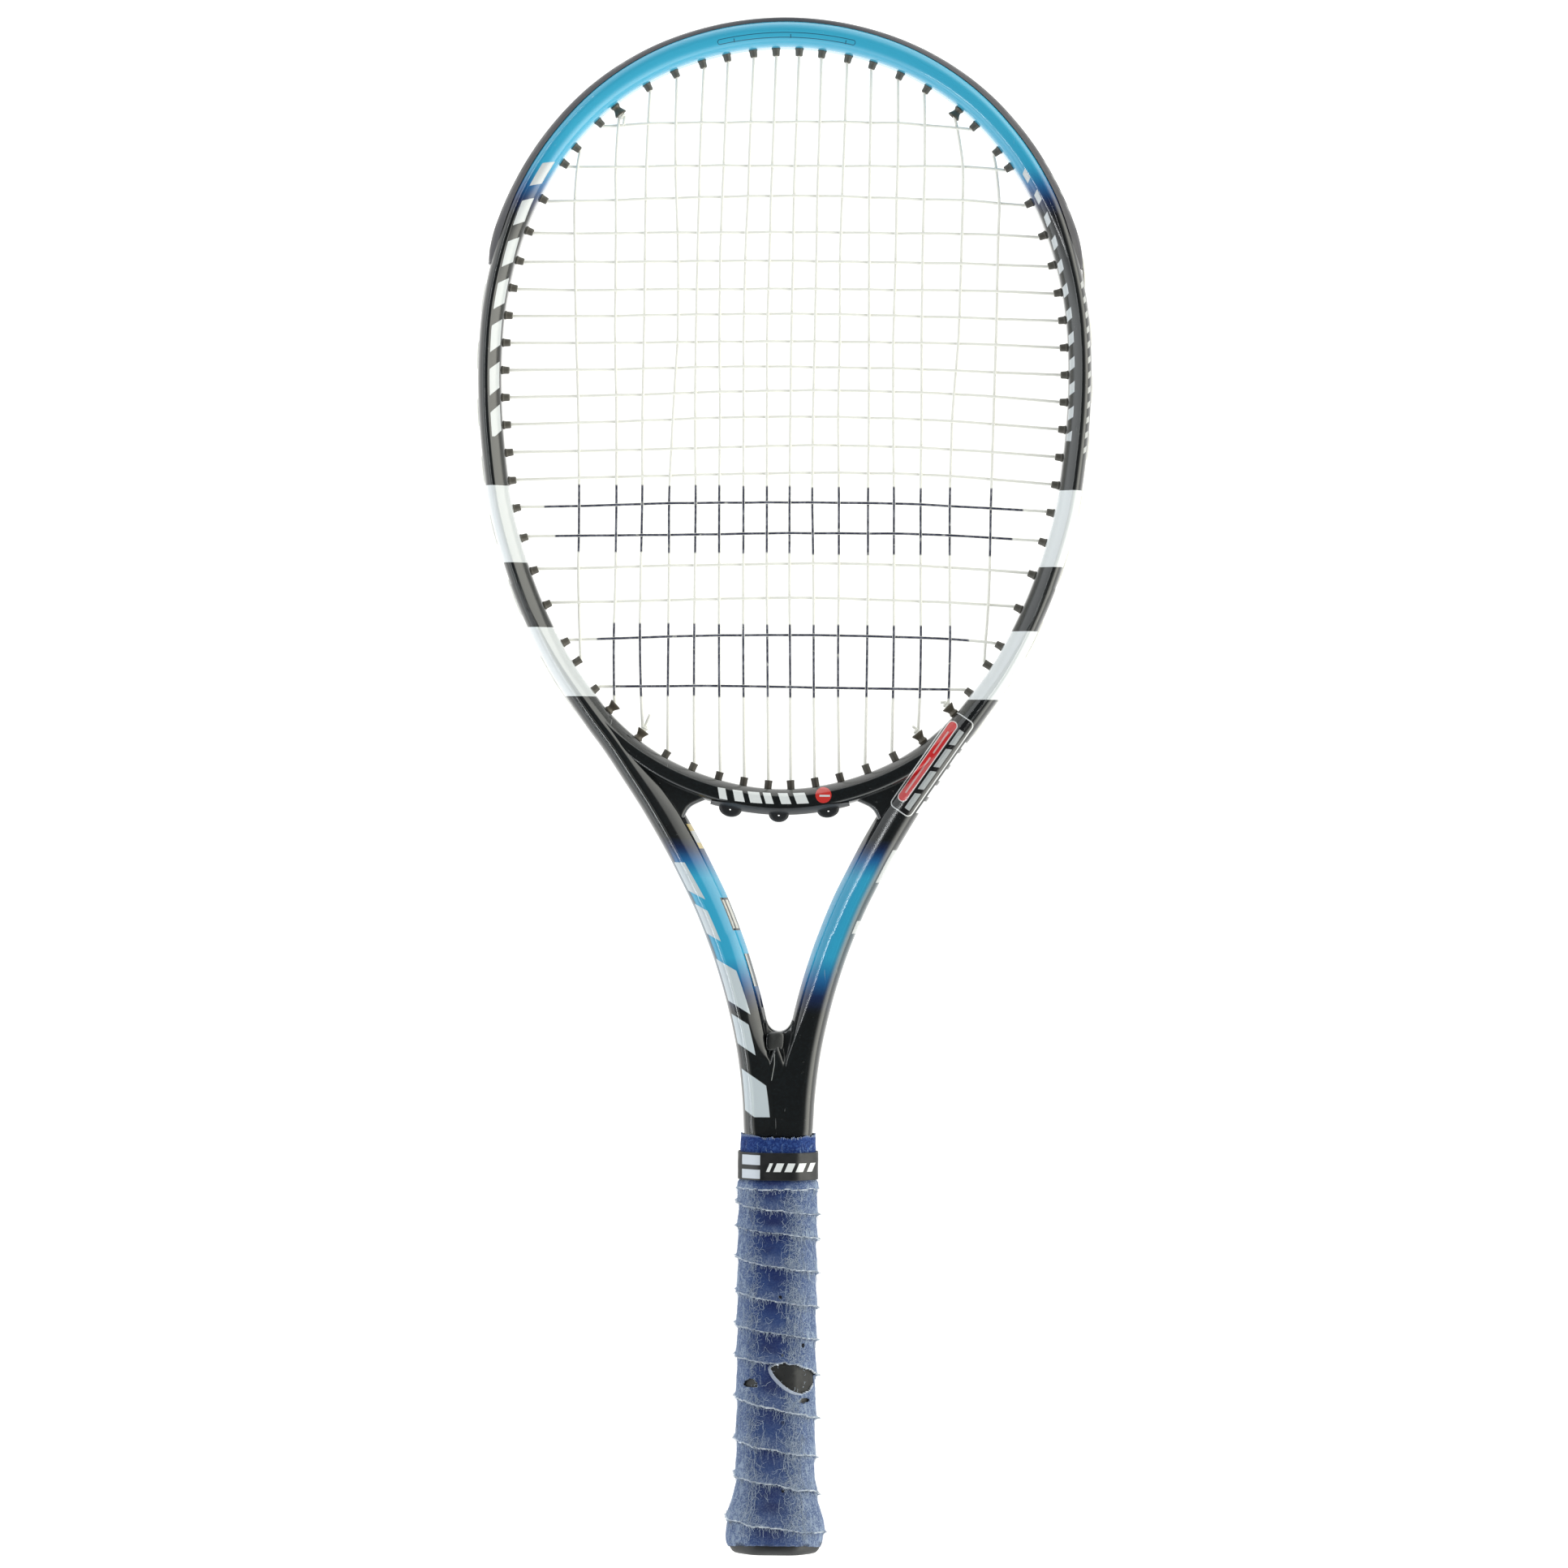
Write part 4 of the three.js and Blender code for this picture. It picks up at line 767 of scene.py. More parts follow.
PAINT = mat_paint()
BUMPER = mat_bumper()
NYLON = mat_plastic("grommet_nylon", (0.078, 0.072, 0.060), (0.36, 0.5), 0.3, (0.17, 0.16, 0.135))
NYLON_BROWN = mat_plastic("grommet_nylon_flared", (0.080, 0.068, 0.050), (0.36, 0.5), 0.3, (0.17, 0.145, 0.11))
NYLON_BRIDGE_PEG = mat_plastic("grommet_nylon_bridge", (0.050, 0.043, 0.035), (0.36, 0.5), 0.3, (0.12, 0.105, 0.085))
BRIDGE_NYLON = mat_plastic("bridge_nylon", (0.013, 0.014, 0.016), (0.30, 0.45), 0.2, (0.07, 0.07, 0.07))
MAINS = mat_string("string_mains", False)
CROSSES = mat_string("string_crosses", True)
FELT = mat_overgrip()
FIBRE = mat_fibre()
TAPE = mat_tape()
LEATHER = mat_basegrip()
RUBBER = mat_plastic("butt_moulding", (0.010, 0.0105, 0.0115), (0.42, 0.6), 0.3, (0.09, 0.09, 0.09))
FOAM = mat_plastic("pallet_foam", (0.06, 0.06, 0.062), (0.7, 0.85), 0.2, (0.12, 0.12, 0.12), 400.0)
STEEL = mat_steel()

# ------------------------------------------------------------------ frame
def lerp(tab, s):
    return float(np.interp(s, tab[0], tab[1]))


def outer_height(x, b, R, w0=3.45, p=2.15):
    f = min(1.0, max(0.0, x / R))
    return w0 + (b - w0) * (1 - (1 - f) ** p) ** (1 / p)


# how far the flat front band reaches in from the outer edge where the arms run together
LBAND = ([200.0, 206.0, 210.5, 213.0, 216.6, 221.0, 227.4, 240.0, 262.0], [13.4, 13.2, 12.6, 10.6, 9.2, 8.2, 7.6, 8.6, 9.0])
RBAND = ([200.0, 205.0, 208.5, 212.0, 216.0, 219.5, 227.4, 240.0, 262.0], [13.9, 13.8, 13.5, 13.0, 12.3, 11.6, 10.3, 9.2, 9.0])


def strip_tilt(p, n):
    """Tilt of a flat on the left arm at which it mirrors the narrow light on the left up to the viewpoint."""
    P = np.array([-p[0] * MM, p[1] * MM, 0.0115])
    v = np.array([0.00115, 0.3305, 2.600]) - P
    v /= np.linalg.norm(v)
    lo, hi = math.radians(12), math.radians(34)
    for _ in range(30):
        m = (lo + hi) / 2
        N = np.array([-n[0] * math.sin(m), n[1] * math.sin(m), math.cos(m)])
        r = 2 * np.dot(N, v) * N - v
        hit = P[0] + (1.15 - P[2]) / max(r[2], 1e-3) * r[0] if r[2] > 0 else -99.0
        if hit < -1.05:
            hi = m
        else:
            lo = m
    return (lo + hi) / 2


frame_b = Build()
s_list = list(np.arange(0, s_at_angle(118), 2.0)) + list(np.arange(s_at_angle(118), S_END, 1.25)) + [S_END]
rings, xs_, run_ = [], [], []
for sgn in (-1, 1):
    for s in (reversed(s_list[1:]) if sgn < 0 else s_list):
        p, n = edge_at(s)
        aw, gr = lerp(AT, s), lerp(GROW, s)
        bead = lerp(BT, s) * (1.0 if sgn < 0 else 1.0 - aw)      # the ridge line is only on the left arm
        ab = 0.80 - (0.20 + 0.07 * min(1.0, max(0.0, (p[1] - 240.0) / 60.0))) * aw
        if s > s_at_y(262.0):
            tab = LBAND if sgn < 0 else RBAND
            ab = float(np.interp(p[1], tab[0], tab[1])) / lerp(WT, s)
        fl_ = max(0.0, (bead - 0.3) / 0.7) if sgn < 0 else 0.0
        up = half_section(lerp(WT, s) + gr, lerp(DT, s), lerp(GT, s), lerp(RT, s) + (0.9 * aw if sgn > 0 else -0.5 * aw) + 0.3 * gr, lerp(QT, s), bead,
                          ab, aw, lerp(ST, s), fl_, strip_tilt(p, n) if fl_ > 0 else 0.37)
        r, x = ring_from(p + n * gr, n, up)
        if sgn < 0:
            r = [(-a, b, c) for a, b, c in r]
        rings.append(r)
        xs_.append(x)
        run_.append([sgn * s] * len(x))
v, f = loft(rings)
frame_b.add(v, f, xin=xs_, run=run_)

# ring of the head carried across the throat
rings, xs_ = [], []
for d in np.arange(124.0, 236.01, 0.7):
    p, n = inner_point(d), inner_normal(d)
    W = 10.3
    e = p + n * (W + 0.07)
    off = abs(d - 180)
    g = float(np.interp(off, [0, 11.3, 12.2, 22, 25, 60], [2.2, 2.2, 0.03, 0.03, 3.4, 3.4]))
    q = float(np.interp(off, [0, 20, 34, 50], [0.92, 0.88, 0.35, 0.0]))
    up = half_section(W, 11.12, g, float(np.interp(off, [0, 34], [2.6, 4.1])), q, float(np.interp(off, [10, 34], [0.0, 0.35])), 0.72)
    r, x = ring_from(e, n, up)
    rings.append(r)
    xs_.append(x)
v, f = loft(rings)
frame_b.add(v, f, xin=xs_, run=np.full(len(v), 2000.0))

# pockets between ring and arms, with the rounded upper corners of the throat
corner = spline([(30.0, 324.3, 0), (33.0, 323.2, 0), (35.6, 322.1, 0), (38.0, 320.9, 0), (39.9, 319.2, 0), (41.2, 316.8, 0), (42.0, 314.0, 0),
                 (43.2, 311.0, 0)], 0.7)[:, :2]
rest = np.array([(46, 308), (57, 322), (67, 337), (72.5, 352), (66, 351), (52, 337), (40, 331), (30, 328.5)], float)
for sx in (1, -1):
    rings = []
    for z, inset in ((-8.3, 2.1), (-8.1, 1.2), (-7.4, 0.45), (-6.2, 0.0), (6.2, 0.0), (7.4, 0.45), (8.1, 1.2), (8.3, 2.1)):
        c2 = corner + np.array([0.62, 0.78]) * inset
        rings.append([(sx * x, y, z) for x, y in np.vstack([c2, rest])])
    v, f = loft(rings)
    frame_b.add(v, f, run=np.full(len(v), 2000.0))

# crotch and shaft: fills the valley between the two arms down into the handle
rings = []
for x in np.linspace(-10.2, 10.2, 61):
    u0 = 224.2 + (5.4 - math.sqrt(max(0.0, 5.4 ** 2 - min(abs(x), 5.3) ** 2))) * 1.15
    ring = []
    prof = [(168.0, 9.6)] + [(y, 0.9655 * lerp(DT, s_at_y(y)) + 0.02) for y in (177.3, 181.0, 186.0, 190.0, 195.0, 200.0, 204.0, 207.0, 209.0)]
    zt = prof[-1][1]
    prof += [(210.6, zt - 0.10), (212.0, zt - 0.45), (213.2, zt - 1.05), (214.2, zt - 1.75), (215.2, zt - 2.35), (217.0, zt - 2.9),
             (219.5, zt - 3.2), (221.8, zt - 3.5)]
    for y, z in prof:
        k = min(1.0, max(0.0, (y - 209.0) / 5.0))
        side_k = min(1.0, (abs(x + 1.0) / 3.1) ** 2.0)
        bell = math.sin(math.pi * min(1.0, max(0.0, (y - 205.0) / 17.0)))
        ring.append((x, y + (3.6 * (1.0 - side_k) - 1.6 * side_k) * bell, z + 0.004 * x * x * k))
    for a in (0.12, 0.3, 0.5, 0.7, 0.86, 1.0):
        ang = a * math.pi / 2
        ring.append((x, u0 - 2.2 + 2.2 * math.sin(ang), 4.6 + (2.0 + 0.0064 * x * x) * math.cos(ang)))
    ring.append((x, u0, 2.4))
    ring.append((x, u0, 0.0))
    ring = ring + [(a, b, -c) for a, b, c in ring[-2:0:-1]] + [(x, 168.0, -9.6)]
    rings.append(ring)
v, f = loft(rings)
frame_b.add(v, f, run=np.full(len(v), 2000.0))

# raised rounded block in the crotch, front and back
for sz in (1, -1):
    rings = []
    for z, k in ((5.0, 1.0), (8.2, 1.0), (8.75, 0.965), (9.0, 0.88), (9.09, 0.70), (9.12, 0.35), (9.13, 0.06)):
        ring = []
        for a in np.linspace(0, 2 * math.pi, 48, endpoint=False):
            ca, sa = math.cos(a), math.sin(a)
            r = (abs(ca) ** 5 + abs(sa) ** 5) ** -0.2
            ring.append((-1.5 + 4.0 * k * r * ca, 220.0 + 3.95 * k * r * sa + 0.25 * ca, sz * (z - 0.03 * (sa * 4) * k - 0.34 * ca * 3.5 * k * r * (1.0 if z > 7 else 0.0))))
        rings.append(ring)
    v, f = loft(rings)
    frame_b.add(v, f, run=np.full(len(v), 2000.0))
frame_b.obj("frame_tube", [PAINT], "frame_paint", ["frame"], sharp=50)

# ------------------------------------------------------------------ string holes
MAIN_TOP = [1.85, 5.5, 9.75, 13.8, 18.5, 23.4, 29.6, 38.95]
MAIN_BOTTOM = [178.35, 174.55, 170.65, 166.35, 161.7, 156.6, 150.15, 140.65]
CROSS = [33.3, 42.3, 49.35, 55.5, 61.1, 66.3, 71.55, 76.85, 82.25, 87.75, 93.35, 99.05, 104.7, 110.3, 116.3, 122.8,
         129.5, 136.8, 146.05]
FLARED = {"Lt7", "Lb6", "Rb6", "Lb7", "Rb7", "Rt7"}
holes = {}
for side, sx in (("L", -1), ("R", 1)):
    for kind, angs in (("t", MAIN_TOP), ("b", MAIN_BOTTOM), ("c", CROSS)):
        for i, d in enumerate(angs):
            w, n = inner_point(d), inner_normal(d)
            W = 10.47 if d > 168 else hoop_width(d)
            e = w + n * W
            key = side + kind + str(i + 1)
            fl = key in FLARED
            tip = w - n * (4.0 if fl else 3.4)
            m = np.array([sx, 1.0])
            if kind == "b":                              # the lower rows sit a little to the left of the axis
                dx = float(np.interp(d, [145, 160, 180], [0.0, 1.0, 1.0])) * (-1.1 if sx < 0 else -0.5) * sx
                w, e, tip = w + [dx, 0], e + [dx, 0], tip + [dx, 0]
            holes[key] = dict(wall=w * m, n=n * m, tip=tip * m, exit=e * m, deg=d, flared=fl,
                              zone="bridge" if d > 168 else ("bumper" if d < 64 else "side"), side=side)

PEG = [(1.52, -3.0), (1.58, -0.2), (1.72, 0.05), (1.74, 0.30), (1.60, 0.52), (1.52, 1.0), (1.42, 2.45), (1.34, 2.82), (1.18, 2.96),
       (0.94, 2.96), (0.80, 2.8), (0.78, 1.5), (0.78, -3.0)]
STUB = [(1.46, -3.0), (1.46, 0.3), (1.48, 2.2), (1.55, 2.85), (1.53, 3.1), (1.40, 3.22), (1.05, 3.22), (0.86, 3.05), (0.80, 2.7), (0.80, -3.0)]
CUP = [(1.7, -3.0), (1.75, 0.2), (1.95, 0.45), (1.8, 0.8), (1.45, 1.35), (1.5, 1.9), (1.85, 2.7), (2.3, 3.5), (2.5, 4.0), (2.46, 4.22),
       (2.2, 4.28), (1.95, 3.9), (1.45, 3.1), (1.1, 2.3), (0.95, 1.2), (0.95, -3.0)]


def add_pegs(b, zone, side=None, flared_mat=1, plain_mat=0):
    for key, h in holes.items():
        if h["zone"] != zone or (side and h["side"] != side):
            continue
        rnd = random.Random(key)
        n = -h["n"]
        ax = np.array([n[0] + rnd.uniform(-0.04, 0.04), n[1] + rnd.uniform(-0.04, 0.04), rnd.uniform(-0.03, 0.03)])
        prof = CUP if h["flared"] else (STUB if h["deg"] > 138 and abs(h["deg"] - 146.05) > 0.1 else PEG)
        k = rnd.uniform(0.97, 1.03)
        k *= 1.10
        v, f = lathe([(r * (1.09 if hh > 0 else 1), hh * (k if hh > 0 else 1)) for r, hh in prof], (h["wall"][0], h["wall"][1], 0), ax, 22)
        b.add(v, f, mat=flared_mat if h["flared"] or zone == "bridge" else plain_mat)


# ------------------------------------------------------------------ bumper guard
bump = Build()
rings, out_, run_ = [], [], []
steps = np.r_[np.arange(0, S_BUMP - 18, 2.2), np.linspace(S_BUMP - 18, S_BUMP, 26)]
for sgn in (-1, 1):
    for s in (reversed(steps[1:]) if sgn < 0 else steps):
        p, n = edge_at(s)
        D = (S_BUMP - s) / 17.0
        k = math.sin(min(1.0, max(0.0, D)) * math.pi / 2) ** 0.75
        e = (0.1 + 1.25 * min(1.0, (s / (0.62 * S_BUMP)) ** 1.3)) * k
        h = 0.75 + 2.0 * k
        hs = outer_height(max(e, 0.02), 11.2, 4.1)
        gr = lerp(GROW, s)
        B = np.array([gr - e, (6.2 * (1 - k) + hs * k) + 0.28])
        A = np.array([h - 0.28, 5.3 * k + 4.4 * (1 - k)])
        up = [(max(0.95, gr + 0.25), 0.0), (max(0.95, gr + 0.25), 2.0), (max(1.0, gr + 0.3), 2.6), (max(gr + 0.4, 1.02, h - 0.45), 2.95), (h - 0.12, 3.12), (h, 3.4), (h, 4.2 * k + 3.6 * (1 - k)),
              (h - 0.08, 4.8 * k + 3.9 * (1 - k))]
        for t in np.linspace(0, 1, 8):
            q = A + (B - A) * t + np.array([0.8, 0.55]) * math.sin(math.pi * t) * 0.55 * k
            up.append(tuple(q))
        up += [(B[0] - 0.12, B[1] - 0.12), (B[0] - 0.1, B[1] - 0.5), (gr - 0.35, 5.0), (gr - 0.4, 3.2), (-1.6, 1.95), (-1.6, 0.0)]
        full = [(-u, w) for u, w in up]
        r, x = ring_from(p, n, full)
        if sgn < 0:
            r = [(-a, b, c) for a, b, c in r]
        rings.append(r)
        out_.append([-q for q in x])
        run_.append([sgn * s] * len(x))
v, f = loft(rings)
bump.add(v, f, run=run_, out=out_)
add_pegs(bump, "bumper", plain_mat=2)
bump.obj("bumper_guard_shell", [BUMPER, NYLON_BROWN, NYLON], "bumper_plastic", ["bumper_guard"], sharp=48)

# ------------------------------------------------------------------ side grommet strips
for side, sx in (("L", -1), ("R", 1)):
    b = Build()
    rings = []
    for s in np.arange(s_at_angle(64.6), S_STRIP, 2.0):
        p, n = edge_at(s)
        up = [(0.95, 0.0), (0.95, 1.3), (0.72, 1.75), (0.72, 2.1), (0.95, 2.28), (1.3, 2.2), (1.9, 1.95), (1.9, 0.0)]
        r, _ = ring_from(p, n, up)
        rings.append([(sx * a, y, z) for a, y, z in r])
    v, f = loft(rings)
    b.add(v, f)
    add_pegs(b, "side", side)
    name = "left" if sx < 0 else "right"
    b.obj("side_grommet_strip_" + name, [NYLON, NYLON_BROWN], "grommet_plastic", ["side_grommets_" + name], sharp=48)

# ------------------------------------------------------------------ bridge strip with its saddles
b = Build()
rings = []
for d in np.linspace(170.5, 189.8, 45):
    p, n = inner_point(d), inner_normal(d)
    e = p + n * 10.42
    k = min(1.0, math.sin(math.pi * (d - 170.5) / 19.3) * 1.6 + 0.22)
    wrap = 0.45 + 1.75 * k
    hs = outer_height(wrap, 11.12, 2.8)
    up = [(0.9, 0.0), (0.9, 1.2), (-0.3, 1.7), (-0.72, 2.1), (-0.85, 2.9), (-0.88, 5.2), (-0.75, 6.4), (-0.2, 7.6), (wrap * 0.45, hs - 0.55),
          (wrap - 0.30, hs + 0.42), (wrap, hs + 0.38), (wrap + 0.10, hs - 0.35), (0.3, 6.0), (0.1, 2.85), (1.9, 1.95), (1.9, 0.0)]
    r, _ = ring_from(e, n, up)
    rings.append(r)
v, f = loft(rings)
b.add(v, f)
for d, rw, drop in ((173.55, 4.75, 3.35), (180.3, 4.35, 3.5), (186.95, 4.95, 3.7)):
    p, n = inner_point(d), inner_normal(d)
    c = p + n * 10.9
    t = np.array([n[1], -n[0]])
    for sz in (1, -1):
        rings = []
        hole = [(0.42, 0.42)] * 3
        for z, k in ((3.3, 0.95), (3.55, 1.0), (6.3, 1.0), (6.9, 0.97), (7.25, 0.88), (7.35, 0.62), (7.3, 0.16), (3.3, 0.16)):
            ring = []
            for a in np.linspace(0, 2 * math.pi, 40, endpoint=False):
                if k < 0.2:
                    q = c + t * (0.42 * math.cos(a)) + n * (0.55 + 0.42 * math.sin(a))
                else:
                    q = c + t * (rw * k * math.cos(a)) + n * ((drop if math.sin(a) > 0 else 3.0) * k * math.sin(a))
                ring.append((q[0], q[1], sz * z))
            rings.append(ring)
        v, f = loft(rings, caps=False, closed=True)
        b.add(v, f)
add_pegs(b, "bridge")
b.obj("bridge_grommet_strip", [BRIDGE_NYLON, NYLON_BRIDGE_PEG], "grommet_plastic", ["bridge_grommets"], sharp=42)

# ------------------------------------------------------------------ strings
AXIS = lambda y: 958 + (1700 - y) * 0.00725
M_ROWS = [(177, [705, 757, 796, 831, 862, 892, 923, 952, 980, 1009, 1040, 1072, 1107, 1140, 1186, 1234]),
          (225, [707, 758, 795, 832, 861, 890, 922, 950, 978, 1007, 1038, 1071, 1105, 1139, 1187, 1232]),
          (308, [707, 758, 794, 835, 859, 887, 918, 948, 977, 1006, 1035, 1071, 1104, 1137, 1185, 1230]),
          (409, [709, 757, 793, 835, 857, 886, 916, 945, 975, 1004, 1035, 1071, 1101, 1136, 1182, 1228]),
          (508, [712, 759, 791, 829, 856, 887, 916, 945, 974, 1002, 1033, 1071, 1101, 1136, 1174, 1225]),
          (612, [713, 759, 791, 824, 857, 886, 916, 945, 973, 1001, 1034, 1070, 1102, 1135, 1171, 1222]),
          (722, [712, 758, 789, 824, 856, 886, 916, 945, 973, 1003, 1034, 1070, 1102, 1135, 1171, 1220]),
          (817, [712, 755, 788, 823, 855, 886, 916, 946, 974, 1003, 1033, 1069, 1102, 1136, 1172, 1216])]
C_COLS = [(736, [150, 205, 246, 287, 322, 357, 389, 422, 455, 487, 520, 555, 588, 623, 660, 700, 742, 788, 846]),
          (809, [150, 203, 243, 285, 321, 355, 387, 421, 453, 485, 517, 553, 586, 620, 659, 697, 740, 785, 846]),
          (872, [149, 202, 241, 285, 320, 355, 386, 420, 451, 482, 514, 551, 584, 619, 658, 696, 738, 783, 845]),
          (960, [148, 202, 239, 284, 319, 354, 385, 419, 450, 480, 512, 548, 582, 618, 656, 694, 736, 782, 846]),
          (1020, [147, 202, 239, 284, 320, 354, 385, 419, 451, 479, 512, 547, 581, 618, 656, 693, 736, 782, 847]),
          (1119, [149, 202, 242, 285, 321, 355, 387, 420, 452, 481, 514, 549, 582, 619, 656, 695, 739, 784, 848]),
          (1197, [150, 202, 244, 285, 322, 355, 389, 421, 455, 484, 518, 553, 586, 623, 659, 699, 742, 787, 849])]
TILT = 0.00716
mkeys = [("L", i) for i in range(8, 0, -1)] + [("R", i) for i in range(1, 9)]
main_tab = []
for j, (side, i) in enumerate(mkeys):
    top, bot = holes[f"{side}t{i}"]["tip"], holes[f"{side}b{i}"]["tip"]
    col = [(bot[1], bot[0])]
    for y, xs in reversed(M_ROWS):
        Y = (1915 - y) * K
        if bot[1] + 9 < Y < top[1] - 9:
            col.append((Y, (xs[j] - AXIS(y)) * K))
    col.append((top[1], top[0]))
    main_tab.append(np.array(col))
cross_tab = []
for c in range(19):
    l, r = holes[f"Lc{c + 1}"]["tip"], holes[f"Rc{c + 1}"]["tip"]
    row = [(l[0], l[1])]
    for x, ys in C_COLS:
        X = (x - AXIS(ys[c])) * K
        if l[0] + 9 < X < r[0] - 9:
            row.append((X, (1915 - ys[c]) * K + X * TILT * 0.6))
    row.append((r[0], r[1]))
    cross_tab.append(np.array(row))
main_x = lambda j, y: float(np.interp(y, main_tab[j][:, 0], main_tab[j][:, 1]))
cross_y = lambda c, x: float(np.interp(x, cross_tab[c][:, 0], cross_tab[c][:, 1]))
cross_at = {}
for c in range(19):
    for j in range(16):
        x = main_x(j, cross_y(c, 0))
        for _ in range(4):
            y = cross_y(c, x)
            x = main_x(j, y)
        lim = abs(holes[f"Rc{c + 1}"]["tip"][0]) - 2.2
        if abs(x) > lim or y > main_tab[j][-1, 0] - 1.6 or y < main_tab[j][0, 0] + 1.6:
            continue
        cross_at[(c, j)] = (x, y, 1 if (c + 1 + j) % 2 else -1)
STR = 0.63


def main_path(j, down):
    side, i = mkeys[j]
    P = [(main_tab[j][-1, 1], main_tab[j][-1, 0], 0.0)]
    for c in range(19):
        if (c, j) in cross_at:
            x, y, sg = cross_at[(c, j)]
            P.append((x, y, -0.52 * sg))
    P.append((main_tab[j][0, 1], main_tab[j][0, 0], 0.0))
    if not down:
        P.reverse()
    return list(spline(P, 1.9))


def cross_path(c, to_right):
    P = [(cross_tab[c][0, 0], cross_tab[c][0, 1], 0.0)]
    for j in range(16):
        if (c, j) in cross_at:
            x, y, sg = cross_at[(c, j)]
            P.append((x, y, 0.78 * sg))
    P.append((cross_tab[c][-1, 0], cross_tab[c][-1, 1], 0.0))
    if not to_right:
        P.reverse()
    return list(spline(P, 1.9))


def out_at(key, z=0.0, up=0.0):
    h = holes[key]
    q = h["exit"] + h["n"] * ((2.02 if h["zone"] == "bumper" else 0.1) + up)
    return np.array([q[0], q[1], z])


def in_wall(key, z=0.0):
    h = holes[key]
    q = h["wall"] + h["n"] * 1.5
    return np.array([q[0], q[1], z])


def along_edge(a, b, z=0.0):
    """Outside run between two holes, following the groove."""
    A, B = out_at(a), out_at(b)
    if holes[a]["zone"] == "bridge" and holes[b]["zone"] == "bridge" or np.linalg.norm(A - B) > 60:
        return [A, B]
    mid = (A + B) / 2
    n = holes[a]["n"] + holes[b]["n"]
    n = n / np.linalg.norm(n)
    sag = np.linalg.norm(A - B) ** 2 / (8 * 150.0)
    mid = mid + np.array([n[0] * sag, n[1] * sag, z])
    return [A, mid, B]


def add_string(b, points, r):
    v, f = tube(points, r, 12)
    z0 = v[:, 2].reshape(-1, 12)
    b.add(v, f, crest=((z0 - z0.mean(axis=1, keepdims=True)) / r).reshape(-1))


P = [np.array([holes["Lb6"]["tip"][0] + 0.4, holes["Lb6"]["tip"][1] + 2.2, 0.5]), np.append(holes["Lb6"]["tip"], 0.6), in_wall("Lb6", 0.6),
     out_at("Lb6", 0.8), out_at("Lb7", 1.5), out_at("Lc19", 1.5), out_at("Lb8")]
for j in range(16):
    side, i = mkeys[j]
    down = (side == "L") == (i % 2 == 1)
    a, z_ = (f"{side}t{i}", f"{side}b{i}") if down else (f"{side}b{i}", f"{side}t{i}")
    P += [out_at(a), in_wall(a)]
    P += main_path(j, down)
    P += [in_wall(z_)]
    if j < 15:
        s2, i2 = mkeys[j + 1]
        nxt = f"{s2}{'b' if down else 't'}{i2}"
        P += along_edge(z_, nxt)[:-1]
    else:
        P += [out_at(z_), out_at("Rc19", -1.5), out_at("Rb7", 0, 1.2), out_at("Rb6", 0.6), in_wall("Rb6", 0.6),
              np.append(holes["Rb6"]["tip"], 0.6),
              np.array([holes["Rb6"]["tip"][0] - 0.4, holes["Rb6"]["tip"][1] + 2.2, 0.5])]
b = Build()
add_string(b, round_corners(P, 1.2, 3), STR)


def knot(b, at, axis, r=1.0, turns=2.0, tail=None, seed=0):
    """A small tied knot: a few tight turns and a cut tail."""
    rnd = random.Random(seed)
    ax = np.array(axis, float)
    ax /= np.linalg.norm(ax)
    e1 = np.cross(ax, [0, 0, 1.0])
    e1 /= np.linalg.norm(e1)
    e2 = np.cross(ax, e1)
    pts_ = []
    for k in range(int(turns * 14) + 1):
        a = 2 * math.pi * k / 14
        h = (k / (turns * 14) - 0.5) * 1.15 * turns
        pts_.append(np.array(at) + ax * h + (e1 * math.cos(a) + e2 * math.sin(a)) * (r + 0.12 * math.sin(a * 0.5 + seed)))
    if tail is not None:
        last = pts_[-1]
        for t in np.linspace(0.2, 1, 7):
            pts_.append(last + (np.array(tail) - last) * t + np.array([0, 0, 0.5 * math.sin(math.pi * t)]))
    add_string(b, pts_, STR * 0.92)


def hole_dir(k):
    return np.append(-holes[k]["n"], 0)


t6 = holes["Lb6"]["tip"]
knot(b, (t6[0] + 0.5, t6[1] + 1.2, 0.25), hole_dir("Lb6"), 0.85, 2.4, (t6[0] + 3.0, t6[1] + 7.6, 1.6), 1)
t6 = holes["Rb6"]["tip"]
knot(b, (t6[0] - 0.4, t6[1] + 1.0, 0.2), hole_dir("Rb6"), 0.8, 2.2, (t6[0] - 2.4, t6[1] + 3.6, 1.2), 2)
b.obj("main_string_woven", [MAINS], "string", ["main_string"])

P = [np.array([holes["Lt7"]["tip"][0] + 1.0, holes["Lt7"]["tip"][1] - 2.0, -0.4]), np.append(holes["Lt7"]["tip"], -0.6), in_wall("Lt7", -0.6),
     out_at("Lt7", -0.8), out_at("Lc1")]
for c in range(19):
    right = c % 2 == 0
    a, z_ = ("L", "R") if right else ("R", "L")
    ka, kb = f"{a}c{c + 1}", f"{z_}c{c + 1}"
    P += [out_at(ka), in_wall(ka)]
    P += cross_path(c, right)
    P += [in_wall(kb)]
    if c < 18:
        P += along_edge(kb, f"{z_}c{c + 2}")[:-1]
    else:
        P += [out_at(kb), out_at("Rb7", 0.8), in_wall("Rb7", 0.6), np.append(holes["Rb7"]["tip"], 0.6),
              np.array([holes["Rb7"]["tip"][0] - 0.5, holes["Rb7"]["tip"][1] + 2.0, 0.5])]
b = Build()
add_string(b, round_corners(P, 1.2, 3), STR)
t7 = holes["Lt7"]["tip"]
